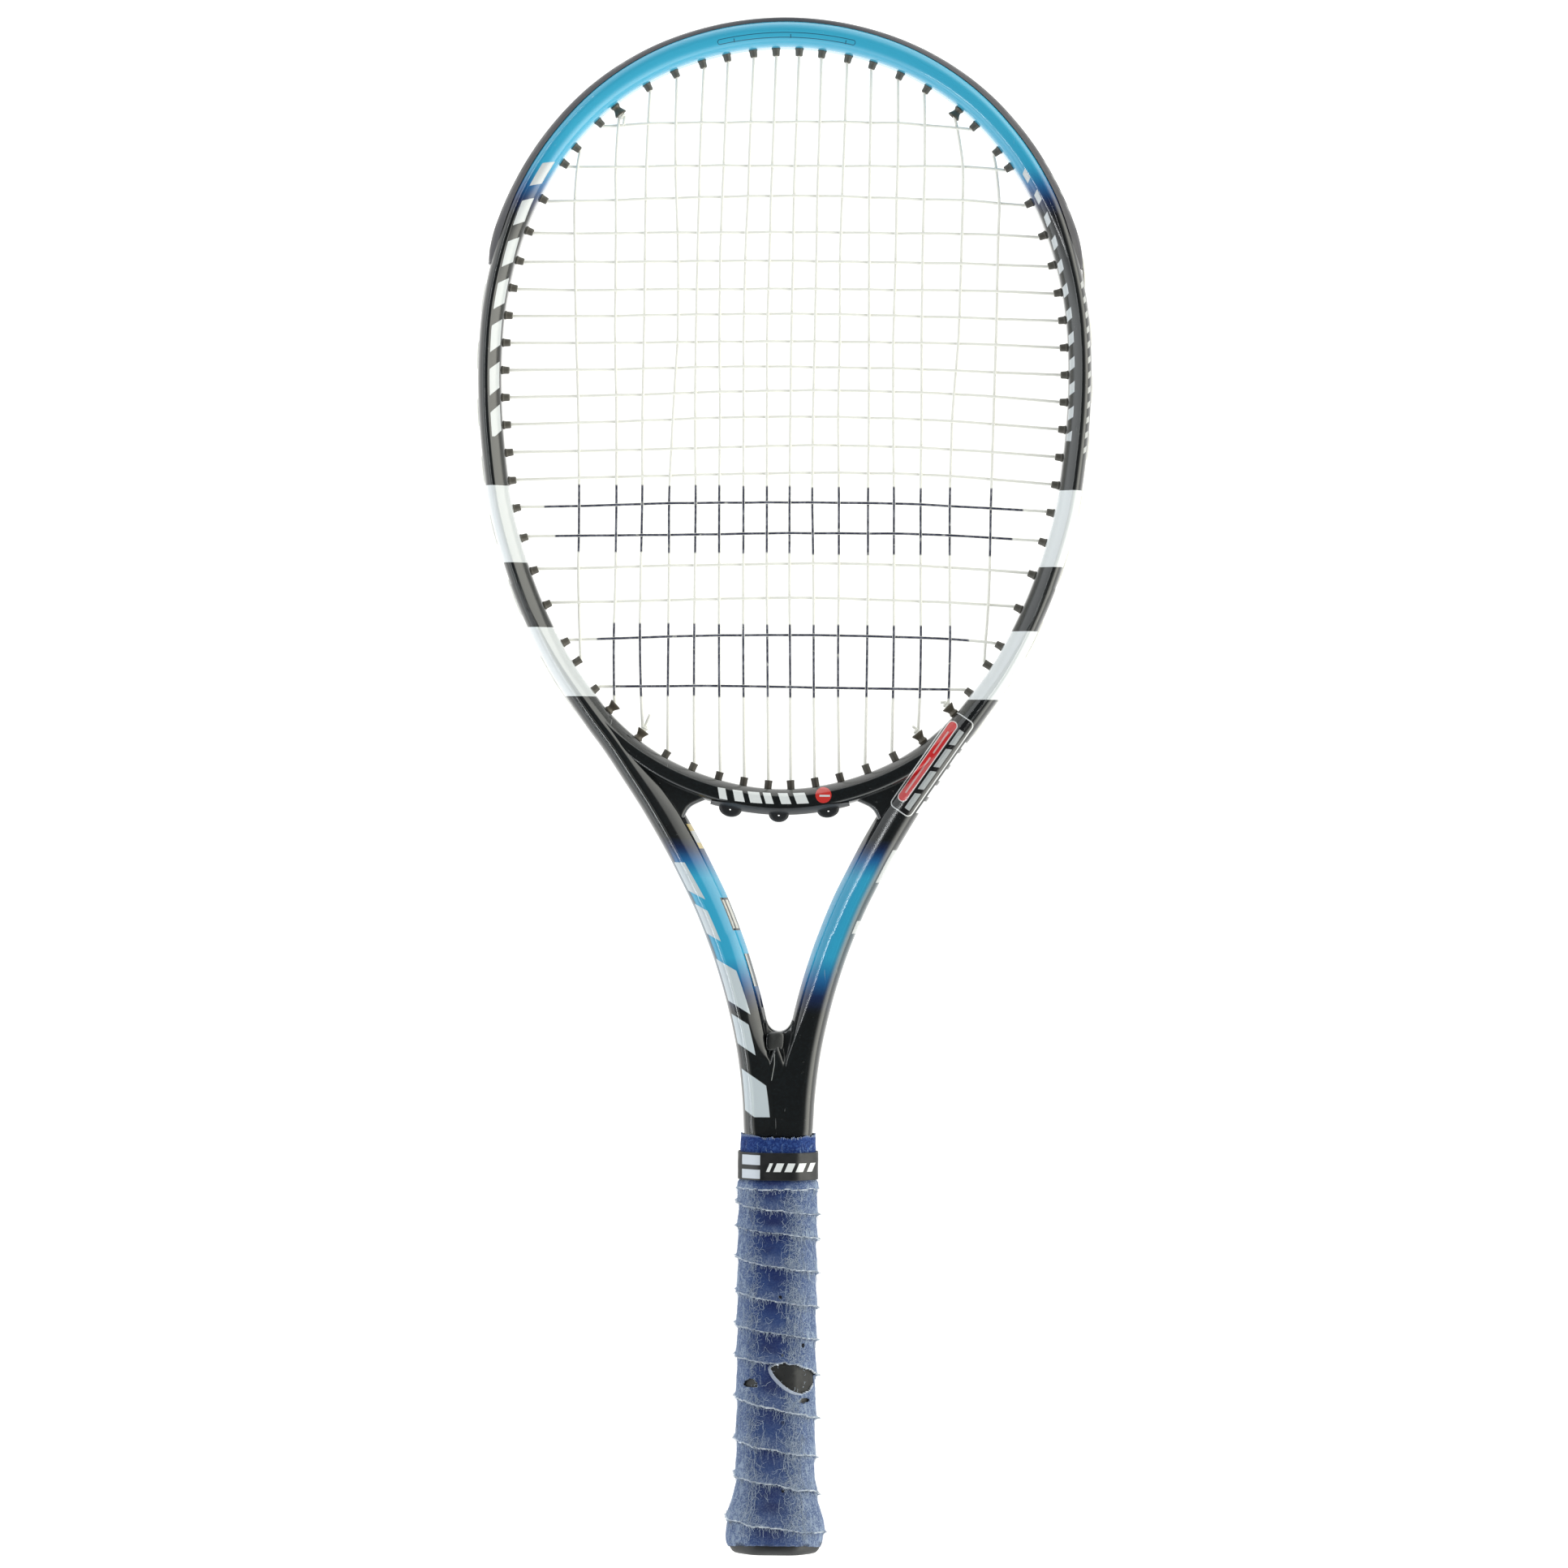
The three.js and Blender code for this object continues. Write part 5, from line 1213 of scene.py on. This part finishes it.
knot(b, (t7[0] + 0.5, t7[1] - 1.1, 0.2), hole_dir("Lt7"), 0.85, 2.6, (t7[0] + 1.4, t7[1] - 5.2, 1.4), 3)
t7 = holes["Rb7"]["tip"]
knot(b, (t7[0] - 0.6, t7[1] + 1.0, 0.2), hole_dir("Rb7"), 0.8, 2.0, (t7[0] - 3.2, t7[1] + 2.2, 1.2), 4)
b.obj("cross_string_woven", [CROSSES], "string", ["cross_string"])

# ------------------------------------------------------------------ handle
def octo(th, d, corner=26.0):
    """Rounded eight-sided section at angle th from the front, d inward from the finished grip surface."""
    s, c = abs(math.sin(th)), abs(math.cos(th))
    A, B, Kk = 17.0 - d, 14.2 - d, 23.0 - math.sqrt(2) * d
    r = ((s / A) ** corner + (c / B) ** corner + ((s + c) / Kk) ** corner) ** (-1 / corner)
    return r * math.sin(th), r * math.cos(th)


def fbm(x, y, z=0.0, s=1.0, o=3):
    return noise.fractal(Vector((x * s, y * s, z * s)), 1.0, 2.0, o)


GRIP_D = ([2.2, 3.0, 4.0, 5.0, 6.2, 8, 13.0, 16.5, 21.6, 31.0, 159.4, 160.6, 172.4, 173.4, 179.5], [-2.75, -3.15, -3.55, -3.85, -4.05, -4.2, -4.0, -3.2, -1.75, 0, 0, 0.7, 0.7, 0.75, 0.95])
EDGE_PX = [1492, 1519, 1560, 1603, 1643, 1681, 1737, 1787, 1829, 1882]
T_Y = [(1915 - y) * K for y in EDGE_PX]


def turn_of(y, th):
    """Turn number of the wound tape at height y and angle th; whole numbers lie on its free edges."""
    t = float(np.interp(-y, [-160.0] + [-q for q in T_Y] + [-4.0], [0.1] + list(range(1, 11)) + [10.62]))
    rag = 0.055 * fbm(math.sin(th) * 2.2, math.cos(th) * 2.2, y * 0.02 + 3, 1.0, 2) \
        + 0.022 * fbm(math.sin(th) * 14, math.cos(th) * 14, y * 0.02, 1.0, 3)
    return t - th / (2 * math.pi) + rag


def grip_point(th, y, extra=0.0):
    base = float(np.interp(y, GRIP_D[0], GRIP_D[1]))
    f, lip, o = 0.5, 0.0, 0.0
    if y < 160.5:
        ring_edge = 156.5 + 0.55 * fbm(math.sin(th) * 6, math.cos(th) * 6, 1.0, 1.0, 2)
        if y > ring_edge:                       # short top turn, tucked under the finishing tape
            f = 1 - (y - ring_edge) / 6.0
            o = 0.62 * f
            lip = max(0.0, 1 - (y - ring_edge) / 0.9)
            o += 0.18 * lip
        else:
            t = turn_of(y, th)
            f = t - math.floor(t)
            o = -0.42 + 0.95 * f ** 1.25
            lip = max(0.0, (f - 0.93) / 0.07)
            flare = 0.35 + 0.75 * max(0.0, fbm(math.sin(th) * 5, math.cos(th) * 5, math.floor(t) * 3.1, 1.0, 2) + 0.25)
            o += flare * lip ** 1.5 * (1.0 + 0.7 * abs(math.sin(th)) ** 6)
            if f < 0.05:
                lip = 0.0
        fade = min(1.0, max(0.0, (160.5 - y) / 1.5))
        o *= fade
    elif y > 172.8:
        top = 179.3 + 0.35 * fbm(math.sin(th) * 9, math.cos(th) * 9, 2.0, 1.0, 2)
        lip = max(0.0, 1 - (top - y) / 0.6) if y < top else 1.0
        f = 0.2
        o = 0.22 * fbm(math.sin(th) * 4, math.cos(th) * 4, y * 0.35, 1.0, 3)
    wr = 0.16 * fbm(math.sin(th) * 3, math.cos(th) * 3, y * 0.11, 1.0, 3) + 0.05 * fbm(math.sin(th) * 16, math.cos(th) * 16, y * 0.8, 1.0, 2)
    if 159.6 < y < 173.2:
        wr *= 0.2
    x, z = octo(th, base - o - wr - extra, 12.0)
    return x, z, f, lip


def top_shift(th, y):
    """Wavy upper rim of the wrap."""
    k = min(1.0, max(0.0, (y - 175.0) / 4.4))
    return k * (0.55 - 1.25 * max(0.0, math.cos(th - 0.1)) ** 2 + 0.75 * fbm(math.sin(th) * 4, math.cos(th) * 4, 7.0, 1.0, 3)
                + 0.3 * fbm(math.sin(th) * 22, math.cos(th) * 22, 3.0, 1.0, 2))


def bottom_drop(th, y):
    """Lower rim of the wrap, drawn down over the rounded butt and furthest at its two sides."""
    k = min(1.0, max(0.0, (10.0 - y) / 4.4))
    return k * (1.15 + 1.9 * abs(math.sin(th)) ** 4 + 0.22 * fbm(math.sin(th) * 7, math.cos(th) * 7, 11.0, 1.0, 3))


# the torn place on the front, in x and y
TEAR = [(1100, 175), (1130, 155), (1190, 140), (1215, 155), (1265, 155), (1300, 175), (1345, 190), (1370, 212), (1372, 240), (1362, 275),
        (1340, 312), (1290, 330), (1230, 310), (1180, 275), (1145, 240), (1115, 210)]
TEAR2 = [(935, 285), (945, 262), (970, 245), (995, 243), (1015, 262), (1018, 290), (975, 293)]
TEAR3 = [(1280, 380), (1295, 364), (1320, 360), (1336, 372), (1330, 384), (1300, 387)]


def to_row(P):
    out = []
    for cx, cy in P:
        px, py = 885 + (cx - 770) / 5, 1650 + cy / 5
        out.append(((px - AXIS(py)) * K, (1915 - py) * K))
    return out


def in_poly(x, y, P):
    c = False
    j = len(P) - 1
    for i in range(len(P)):
        if (P[i][1] > y) != (P[j][1] > y) and x < (P[j][0] - P[i][0]) * (y - P[i][1]) / (P[j][1] - P[i][1]) + P[i][0]:
            c = not c
        j = i
    return c


def dist_poly(x, y, P):
    best = 1e9
    for i in range(len(P)):
        a, b_ = np.array(P[i]), np.array(P[(i + 1) % len(P)])
        ab = b_ - a
        t = min(1, max(0, float(np.dot(np.array([x, y]) - a, ab) / np.dot(ab, ab))))
        best = min(best, float(np.linalg.norm(np.array([x, y]) - a - ab * t)))
    return best


TEARS = [to_row(TEAR), to_row(TEAR2), to_row(TEAR3)]
NT = 200
ths = [2 * math.pi * k / NT - math.pi for k in range(NT)]
ys = list(np.arange(5.6, 179.5, 0.46)) + [179.5]
V_, WR, LP, keep = [], [], [], []
for y0_ in ys:
    for th in ths:
        y = y0_ - bottom_drop(th, y0_)
        x, z, f, lip = grip_point(th, y)
        if y0_ < 6.6:
            lip = max(lip, 0.75 * (6.6 - y0_))
        hole = False
        if z > 5 and 60 < y < 86:
            for q in TEARS:
                dd = dist_poly(x, y, q)
                if in_poly(x, y, q):
                    hole = True
                elif q is TEARS[0] and dd < 1.6:
                    k = 1 - dd / 1.6
                    lip = max(lip, k * 0.75)
                    z += 0.45 * k * k
                elif dd < 0.45:
                    lip = max(lip, 0.45 * (1 - dd / 0.45))
        V_.append((x, y + top_shift(th, y), z))
        WR.append(f)
        LP.append(lip)
        keep.append(not hole)
faces = []
for i in range(len(ys) - 1):
    for j in range(NT):
        l = (j + 1) % NT
        q = (i * NT + j, i * NT + l, (i + 1) * NT + l, (i + 1) * NT + j)
        if all(keep[a] for a in q):
            faces.append(q)
b = Build()
b.add(V_, faces, wrap=WR, lip=LP)
me_grip = b.obj("overgrip_wound_tape", [FELT], "overgrip_cloth", ["overgrip"], sharp=None)
bm = bmesh.new()
bm.from_mesh(me_grip.data)
bmesh.ops.delete(bm, geom=[v for v in bm.verts if not v.link_faces], context="VERTS")
if bm.faces and sum((f.calc_center_median().x * f.normal.x + f.calc_center_median().z * f.normal.z) for f in bm.faces) < 0:
    bmesh.ops.reverse_faces(bm, faces=bm.faces)
bm.to_mesh(me_grip.data)
bm.free()
mod = me_grip.modifiers.new("thick", "SOLIDIFY")
mod.thickness = 0.00055
mod.offset = -1.0
mod.use_even_offset = False
bpy.context.view_layer.update()
dg = bpy.context.evaluated_depsgraph_get()
new_me = bpy.data.meshes.new_from_object(me_grip.evaluated_get(dg))
me_grip.modifiers.clear()
me_grip.data = new_me

# folded lip along the lower left of the tear
rnd = random.Random(11)
lipb = Build()
fold = [(1083, 172), (1092, 205), (1112, 238), (1140, 268), (1172, 296), (1205, 318), (1245, 334), (1290, 340)]
fr = to_row(fold)
rows = []
inner_l = to_row([(1104, 180), (1122, 214), (1148, 243), (1182, 277), (1215, 300), (1245, 316), (1275, 326), (1300, 331)])
N_ = 42
P0 = spline([(x, y, 0) for x, y in fr], 0.3)
P1 = spline([(x, y, 0) for x, y in inner_l], 0.3)
for i in range(N_):
    t = i / (N_ - 1)
    a = P0[int(t * (len(P0) - 1))]
    c = P1[int(t * (len(P1) - 1))]
    w = math.sin(math.pi * min(1, t * 1.15 + 0.05)) if t < 0.83 else math.sin(math.pi * min(1, t * 1.15 + 0.05))
    w = max(0.12, w)
    ring = []
    for k in range(12):
        ang = 2 * math.pi * k / 12
        u = 0.5 + 0.5 * math.cos(ang)
        x, y = a[0] * (1 - u) + c[0] * u, a[1] * (1 - u) + c[1] * u
        base = grip_point(math.atan2(x, 14.2), y)[1]
        z = base + 0.15 + 0.42 * w * math.sin(ang) + 0.25 * w * u
        ring.append((x, y, z))
    rows.append(ring)
v, f = loft(rows)
lipb.add(v, f, wrap=np.full(len(v), 0.75), lip=np.full(len(v), 0.52))
lipb.obj("overgrip_torn_lip", [FELT], "overgrip_cloth")

# loose fibres of the felt
fib = Build()


def strand(points, r, over_tears=False):
    if not over_tears:
        for q in points:
            if q[2] > 5 and 58 < q[1] < 88 and any(in_poly(q[0], q[1], T) for T in TEARS):
                return
    v, f = tube(points, r, 3)
    fib.add(v, f)


def edge_y(k, th):
    """Height of free edge k at angle th."""
    lo, hi = 5.0, 160.0
    for _ in range(22):
        m = (lo + hi) / 2
        if turn_of(m, th) < k:
            hi = m
        else:
            lo = m
    return (lo + hi) / 2


def on_grip(th, y, lift):
    x, z, _, _ = grip_point(th, y, lift)
    return np.array([x, y, z])


for k in range(0, 11):
    n_f = 230
    for i in range(n_f):
        th = rnd.uniform(-math.pi, math.pi)
        y = edge_y(k, th) if k > 0 else 156.5
        if not (6.5 < y < 157.5):
            continue
        L = rnd.uniform(0.5, 2.2) if rnd.random() < 0.8 else rnd.uniform(2.0, 4.5)
        dth = rnd.uniform(-0.07, 0.07)
        out = rnd.uniform(0.0, 0.55)
        P = []
        wob = rnd.uniform(0, 6.28)
        for q in np.linspace(0, 1, 6):
            P.append(on_grip(th + dth * q + 0.012 * math.sin(wob + q * 7), max(5.8, y + 0.35 - L * q), 0.10 + out * math.sin(q * 2.2)))
        strand(P, rnd.uniform(0.04, 0.08))
for i in range(4200):
    front_bias = rnd.random() < 0.62
    if front_bias:
        x = rnd.choice([rnd.uniform(3, 14.5), rnd.uniform(4, 12), rnd.uniform(-15, 15), rnd.uniform(-15, -8)])
        th = math.atan2(x, 14.2)
    else:
        th = rnd.uniform(-math.pi, math.pi)
    y = rnd.uniform(9, 156)
    t = turn_of(y, th)
    f = t - math.floor(t)
    near_mid = math.exp(-0.024 * (14.2 * math.tan(th) + 2.0) ** 2) if abs(th) < 1.2 else 0.0
    if rnd.random() > (0.25 + 0.75 * f) * (1.0 - 0.72 * near_mid):
        continue
    P = []
    heading = rnd.uniform(0, 6.28)
    cy, cth = y, th
    n_p = rnd.randint(5, 9)
    for q in range(n_p):
        P.append(on_grip(cth, cy, 0.07 + 0.10 * math.sin(math.pi * q / n_p)))
        heading += rnd.uniform(-0.9, 0.9)
        cy = min(157, max(6.5, cy + 0.75 * math.sin(heading)))
        cth += 0.04 * math.cos(heading)
    strand(P, rnd.uniform(0.030, 0.062))
# longer threads that run down the grip
for x0, y0, y1, amp in ((-9.2, 49, 6.5, 1.0), (8.6, 30, 6.5, 0.8), (9.4, 128, 78, 1.3), (11.2, 112, 84, 0.9), (6.8, 95, 82, 0.7), (-11.5, 74, 52, 1.2),
                        (4.6, 134, 104, 0.8), (10.4, 60, 34, 1.2), (12.4, 140, 118, 0.8), (-7.4, 66, 60, 0.5), (2.2, 24, 10, 0.8),
                        (13.0, 52, 22, 0.9), (7.6, 150, 134, 0.6), (5.6, 120, 96, 1.3), (9.9, 122, 100, 1.5), (7.6, 112, 91, 1.1),
                        (12.2, 106, 88, 0.7), (-10.4, 40, 12, 0.9), (-6.0, 58, 42, 0.8), (6.4, 50, 27, 1.0), (8.2, 57, 35, 1.2),
                        (-12.4, 30, 8, 0.6), (11.4, 27, 8, 0.8), (-8.4, 104, 86, 0.7), (5.2, 21, 8, 0.7), (-3.4, 35, 23, 0.6)):
    P = []
    n_p = max(8, int(abs(y0 - y1) / 1.6))
    ph = rnd.uniform(0, 6)
    for q in range(n_p + 1):
        t = q / n_p
        x = x0 + amp * math.sin(ph + t * 5.0) + 0.35 * math.sin(ph + t * 23.0)
        P.append(on_grip(math.atan2(x, 14.2), y0 + (y1 - y0) * t, 0.16))
    strand(P, 0.075)
# frayed threads round the tears
for q in TEARS:
    for i in range(70 if q is TEARS[0] else 22):
        e = rnd.randrange(len(q))
        t = rnd.random()
        x = q[e][0] * (1 - t) + q[(e + 1) % len(q)][0] * t
        y = q[e][1] * (1 - t) + q[(e + 1) % len(q)][1] * t
        a = rnd.uniform(0, 6.28)
        L = rnd.uniform(0.6, 2.2)
        P = []
        for s in np.linspace(0, 1, 5):
            xx, yy = x + math.cos(a + s) * L * s, y + math.sin(a + s) * L * s
            P.append(on_grip(math.atan2(xx, 14.2), yy, 0.12 + 0.2 * math.sin(s * 2)))
        strand(P, rnd.uniform(0.035, 0.06), i % 4 == 0)
# ragged top edge
for i in range(150):
    th = rnd.uniform(-math.pi, math.pi)
    th_ = [th + 0.02 * s * rnd.uniform(-1, 1) for s in np.linspace(0, 1, 4)]
    P = [on_grip(a, 178.7 + 0.25 * i_, 0.04 * i_) + np.array([0, top_shift(a, 179.4) + 0.12 * i_, 0]) for i_, a in enumerate(th_)]
    strand(P, 0.04)
fib.obj("overgrip_fibres", [FIBRE], "overgrip_cloth")


def sleeve(name, rows_out, rows_in, mat, slot, replaces, wrinkle=0.0, seg=160, corner=24.0, scale=0.3, step=None):
    """Closed sleeve between an outer and an inner row of (y, d)."""
    rings = []
    seq = rows_out + rows_in[::-1]
    n_out = len(rows_out)
    for i, (y, d) in enumerate(seq):
        ring = []
        for k in range(seg):
            th = 2 * math.pi * k / seg - math.pi
            w = wrinkle * fbm(math.sin(th) * 3, math.cos(th) * 3, y * scale, 1.0, 3) if i < n_out else 0.0
            x, z = octo(th, d - w, corner)
            ring.append((x, y, z))
        rings.append(ring)
    v, f = loft(rings, caps=False, closed=True)
    return Build().add(v, f).obj(name, [mat], slot, replaces, sharp=42)


def dense(rows, step):
    out = []
    for (y0, d0), (y1, d1) in zip(rows, rows[1:]):
        n = max(1, int(abs(y1 - y0) / step))
        out += [(y0 + (y1 - y0) * k / n, d0 + (d1 - d0) * k / n) for k in range(n)]
    return out + [rows[-1]]


ty0, ty1 = 160.6, 172.45
tape_out = [(ty0, 0.15), (ty0 + 0.05, -0.20), (ty0 + 0.25, -0.30)] + dense([(ty0 + 0.6, -0.32), (ty1 - 0.6, -0.32)], 0.7) + \
    [(ty1 - 0.25, -0.30), (ty1 - 0.05, -0.20), (ty1, 0.15)]
sleeve("finishing_tape_band", tape_out, [(ty0, 0.3), (ty1, 0.3)], TAPE, "tape", ["finishing_tape"], wrinkle=0.10, seg=200)
bg_rows = dense([(6.4, -2.2), (8, -2.9), (13.9, -3.0), (17, -2.2), (22.6, -0.7), (30, 1.0), (157, 1.0), (160, 1.5), (177.0, 1.5)], 1.0)
sleeve("base_grip_cushion", bg_rows, [(6.4, -0.4), (30, 2.0), (177.0, 2.1)], LEATHER, "base_grip_leather", ["base_grip"], wrinkle=0.22, seg=160)

# butt cap: rounded rim, flat end face with a round recess for the door
b = Build()
rings = []
prof = [(34.0, 3.2), (30, 2.3), (22.6, 0.7), (17, -0.8), (13.9, -1.6), (8, -2.0), (6.4, -2.35), (5.0, -2.72), (4.2, -2.8), (3.4, -2.72),
        (2.5, -2.5), (1.6, -2.05), (0.8, -1.45), (0.25, -0.75), (0.0, 0.1), (0.0, 1.3)]
for y, d in prof:
    rings.append([(octo(2 * math.pi * k / 128, d, 15.0)[0], y, octo(2 * math.pi * k / 128, d, 15.0)[1]) for k in range(128)])
for y, r in ((0.0, 9.8), (0.12, 9.55), (0.9, 9.5), (1.2, 9.45), (1.2, 4.0)):
    rings.append([(r * math.sin(2 * math.pi * k / 128), y, r * math.cos(2 * math.pi * k / 128)) for k in range(128)])
v, f = loft(rings)
b.add(v, f).obj("butt_cap_moulding", [RUBBER], "butt_rubber", ["butt_cap"], sharp=40)
b = Build()
v, f = lathe([(0.02, 1.1), (9.1, 1.1), (9.25, 0.8), (9.25, 0.35), (9.05, 0.12), (8.5, 0.1), (8.2, 0.32), (7.8, 0.32), (7.5, 0.1), (4.0, 0.06),
              (3.7, 0.3), (3.3, 0.3), (3.0, 0.06), (0.02, 0.05)], (0, 0, 0), (0, 1, 0), 96)
b.add(v, f).obj("butt_door_disc", [RUBBER], "butt_rubber", ["butt_door"], sharp=35)

# pieces of the CAD that stay: hidden inside the handle
for node, m in (("handle_pallet", FOAM), ("cap_staple_left", STEEL), ("cap_staple_right", STEEL)):
    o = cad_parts[node]
    o.data.materials.clear()
    o.data.materials.append(m)

# ------------------------------------------------------------------ floor, light, camera
floor_z = min(CAD_BOX[0][2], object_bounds()[0][2]) - 0.0003


def floor_mat():
    g = Graph("pale_floor")
    c = g.mix(g.noise(2.0), (0.34, 0.34, 0.335), (0.36, 0.36, 0.355))
    g.set(Base_Color=c, Roughness=0.95, Specular_IOR_Level=0.0)
    g.set(Emission_Color=(1.0, 1.0, 0.985), Emission_Strength=1.0)
    return g.mat


bm = bmesh.new()
bmesh.ops.create_grid(bm, x_segments=8, y_segments=8, size=4.0)
me = bpy.data.meshes.new("studio_floor")
bm.to_mesh(me)
bm.free()
me.materials.append(floor_mat())
floor = bpy.data.objects.new("studio_floor", me)
floor.location = (0, 0.33, floor_z)
SCN.collection.objects.link(floor)

world = bpy.data.worlds.new("studio")
world.use_nodes = True
SCN.world = world
nt = world.node_tree
nt.nodes.clear()
tc = nt.nodes.new("ShaderNodeTexCoord")
sp = nt.nodes.new("ShaderNodeSeparateXYZ")
nt.links.new(tc.outputs["Generated"], sp.inputs[0])
rmp = nt.nodes.new("ShaderNodeValToRGB")
els = rmp.color_ramp.elements
stops = [(0.0, 0.80), (0.10, 0.82), (0.30, 0.72), (0.50, 0.46), (0.66, 0.22), (0.80, 0.075), (1.0, 0.045)]
while len(els) > 1:
    els.remove(els[-1])
els[0].position, els[0].color = stops[0][0], (stops[0][1],) * 3 + (1,)
for p_, c_ in stops[1:]:
    e = els.new(p_)
    e.color = (c_, c_, c_, 1)
ZRAMP = rmp.inputs[0]


def wmath(op, a, b):
    n = nt.nodes.new("ShaderNodeMath")
    n.operation = op
    for i, x in enumerate((a, b)):
        if isinstance(x, (int, float)):
            n.inputs[i].default_value = x
        else:
            nt.links.new(x, n.inputs[i])
    return n.outputs[0]


# a broad soft light on the right, a weaker one on the left, and a darker far end
right_ = wmath("MAXIMUM", sp.outputs[0], 0.0)
left_ = wmath("MAXIMUM", wmath("MULTIPLY", sp.outputs[0], -1.0), 0.0)
nt.links.new(wmath("SUBTRACT", sp.outputs[2], wmath("MULTIPLY", right_, 0.24)), ZRAMP)
far_ = wmath("MAXIMUM", sp.outputs[1], 0.0)
side = wmath("ADD", wmath("ADD", 0.50, wmath("MULTIPLY", right_, 0.72)), wmath("SUBTRACT", wmath("MULTIPLY", left_, 0.18), wmath("MULTIPLY", far_, 0.22)))
mul = nt.nodes.new("ShaderNodeMix")
mul.data_type = "RGBA"
mul.blend_type = "MULTIPLY"
mul.inputs[0].default_value = 1.0
nt.links.new(rmp.outputs[0], mul.inputs[6])
nt.links.new(side, mul.inputs[7])
tint = nt.nodes.new("ShaderNodeMix")
tint.data_type = "RGBA"
tint.inputs[6].default_value = (0.95, 0.99, 1.0, 1)
tint.inputs[7].default_value = (1.0, 0.995, 0.90, 1)
nt.links.new(right_, tint.inputs[0])
warm = nt.nodes.new("ShaderNodeMix")
warm.data_type = "RGBA"
warm.blend_type = "MULTIPLY"
warm.inputs[0].default_value = 1.0
nt.links.new(mul.outputs[2], warm.inputs[6])
nt.links.new(tint.outputs[2], warm.inputs[7])
bg = nt.nodes.new("ShaderNodeBackground")
bg.inputs["Strength"].default_value = 3.75
nt.links.new(warm.outputs[2], bg.inputs["Color"])
wo = nt.nodes.new("ShaderNodeOutputWorld")
nt.links.new(bg.outputs[0], wo.inputs[0])

# narrow strip light on the left, which draws the thin bright lines along the ridges
strip = bpy.data.lights.new("strip_light", "AREA")
strip.shape = "RECTANGLE"
strip.size, strip.size_y = 0.03, 3.2
strip.energy = 8.5
strip.color = (0.96, 0.99, 1.0)
strip_ob = bpy.data.objects.new("strip_light", strip)
SCN.collection.objects.link(strip_ob)
strip_ob.location = (-1.05, 0.33, 1.15)
strip_ob.rotation_euler = (0.0, math.radians(-42.4), 0.0)

cam = bpy.data.cameras.new("camera")
cam_ob = bpy.data.objects.new("camera", cam)
SCN.collection.objects.link(cam_ob)
cam.sensor_width = 36.0
cam.angle = 2 * math.atan(337.6 / 2600.0)
cam.clip_start, cam.clip_end = 0.05, 50.0
cam_ob.location = (0.00115, 0.3305, 2.600)
cam_ob.rotation_euler = (0.0, 0.0, math.radians(0.50))
SCN.camera = cam_ob
SCN.view_settings.view_transform = "Standard"
SCN.view_settings.look = "None"
SCN.view_settings.exposure = 0.0
SCN.view_settings.gamma = 1.0
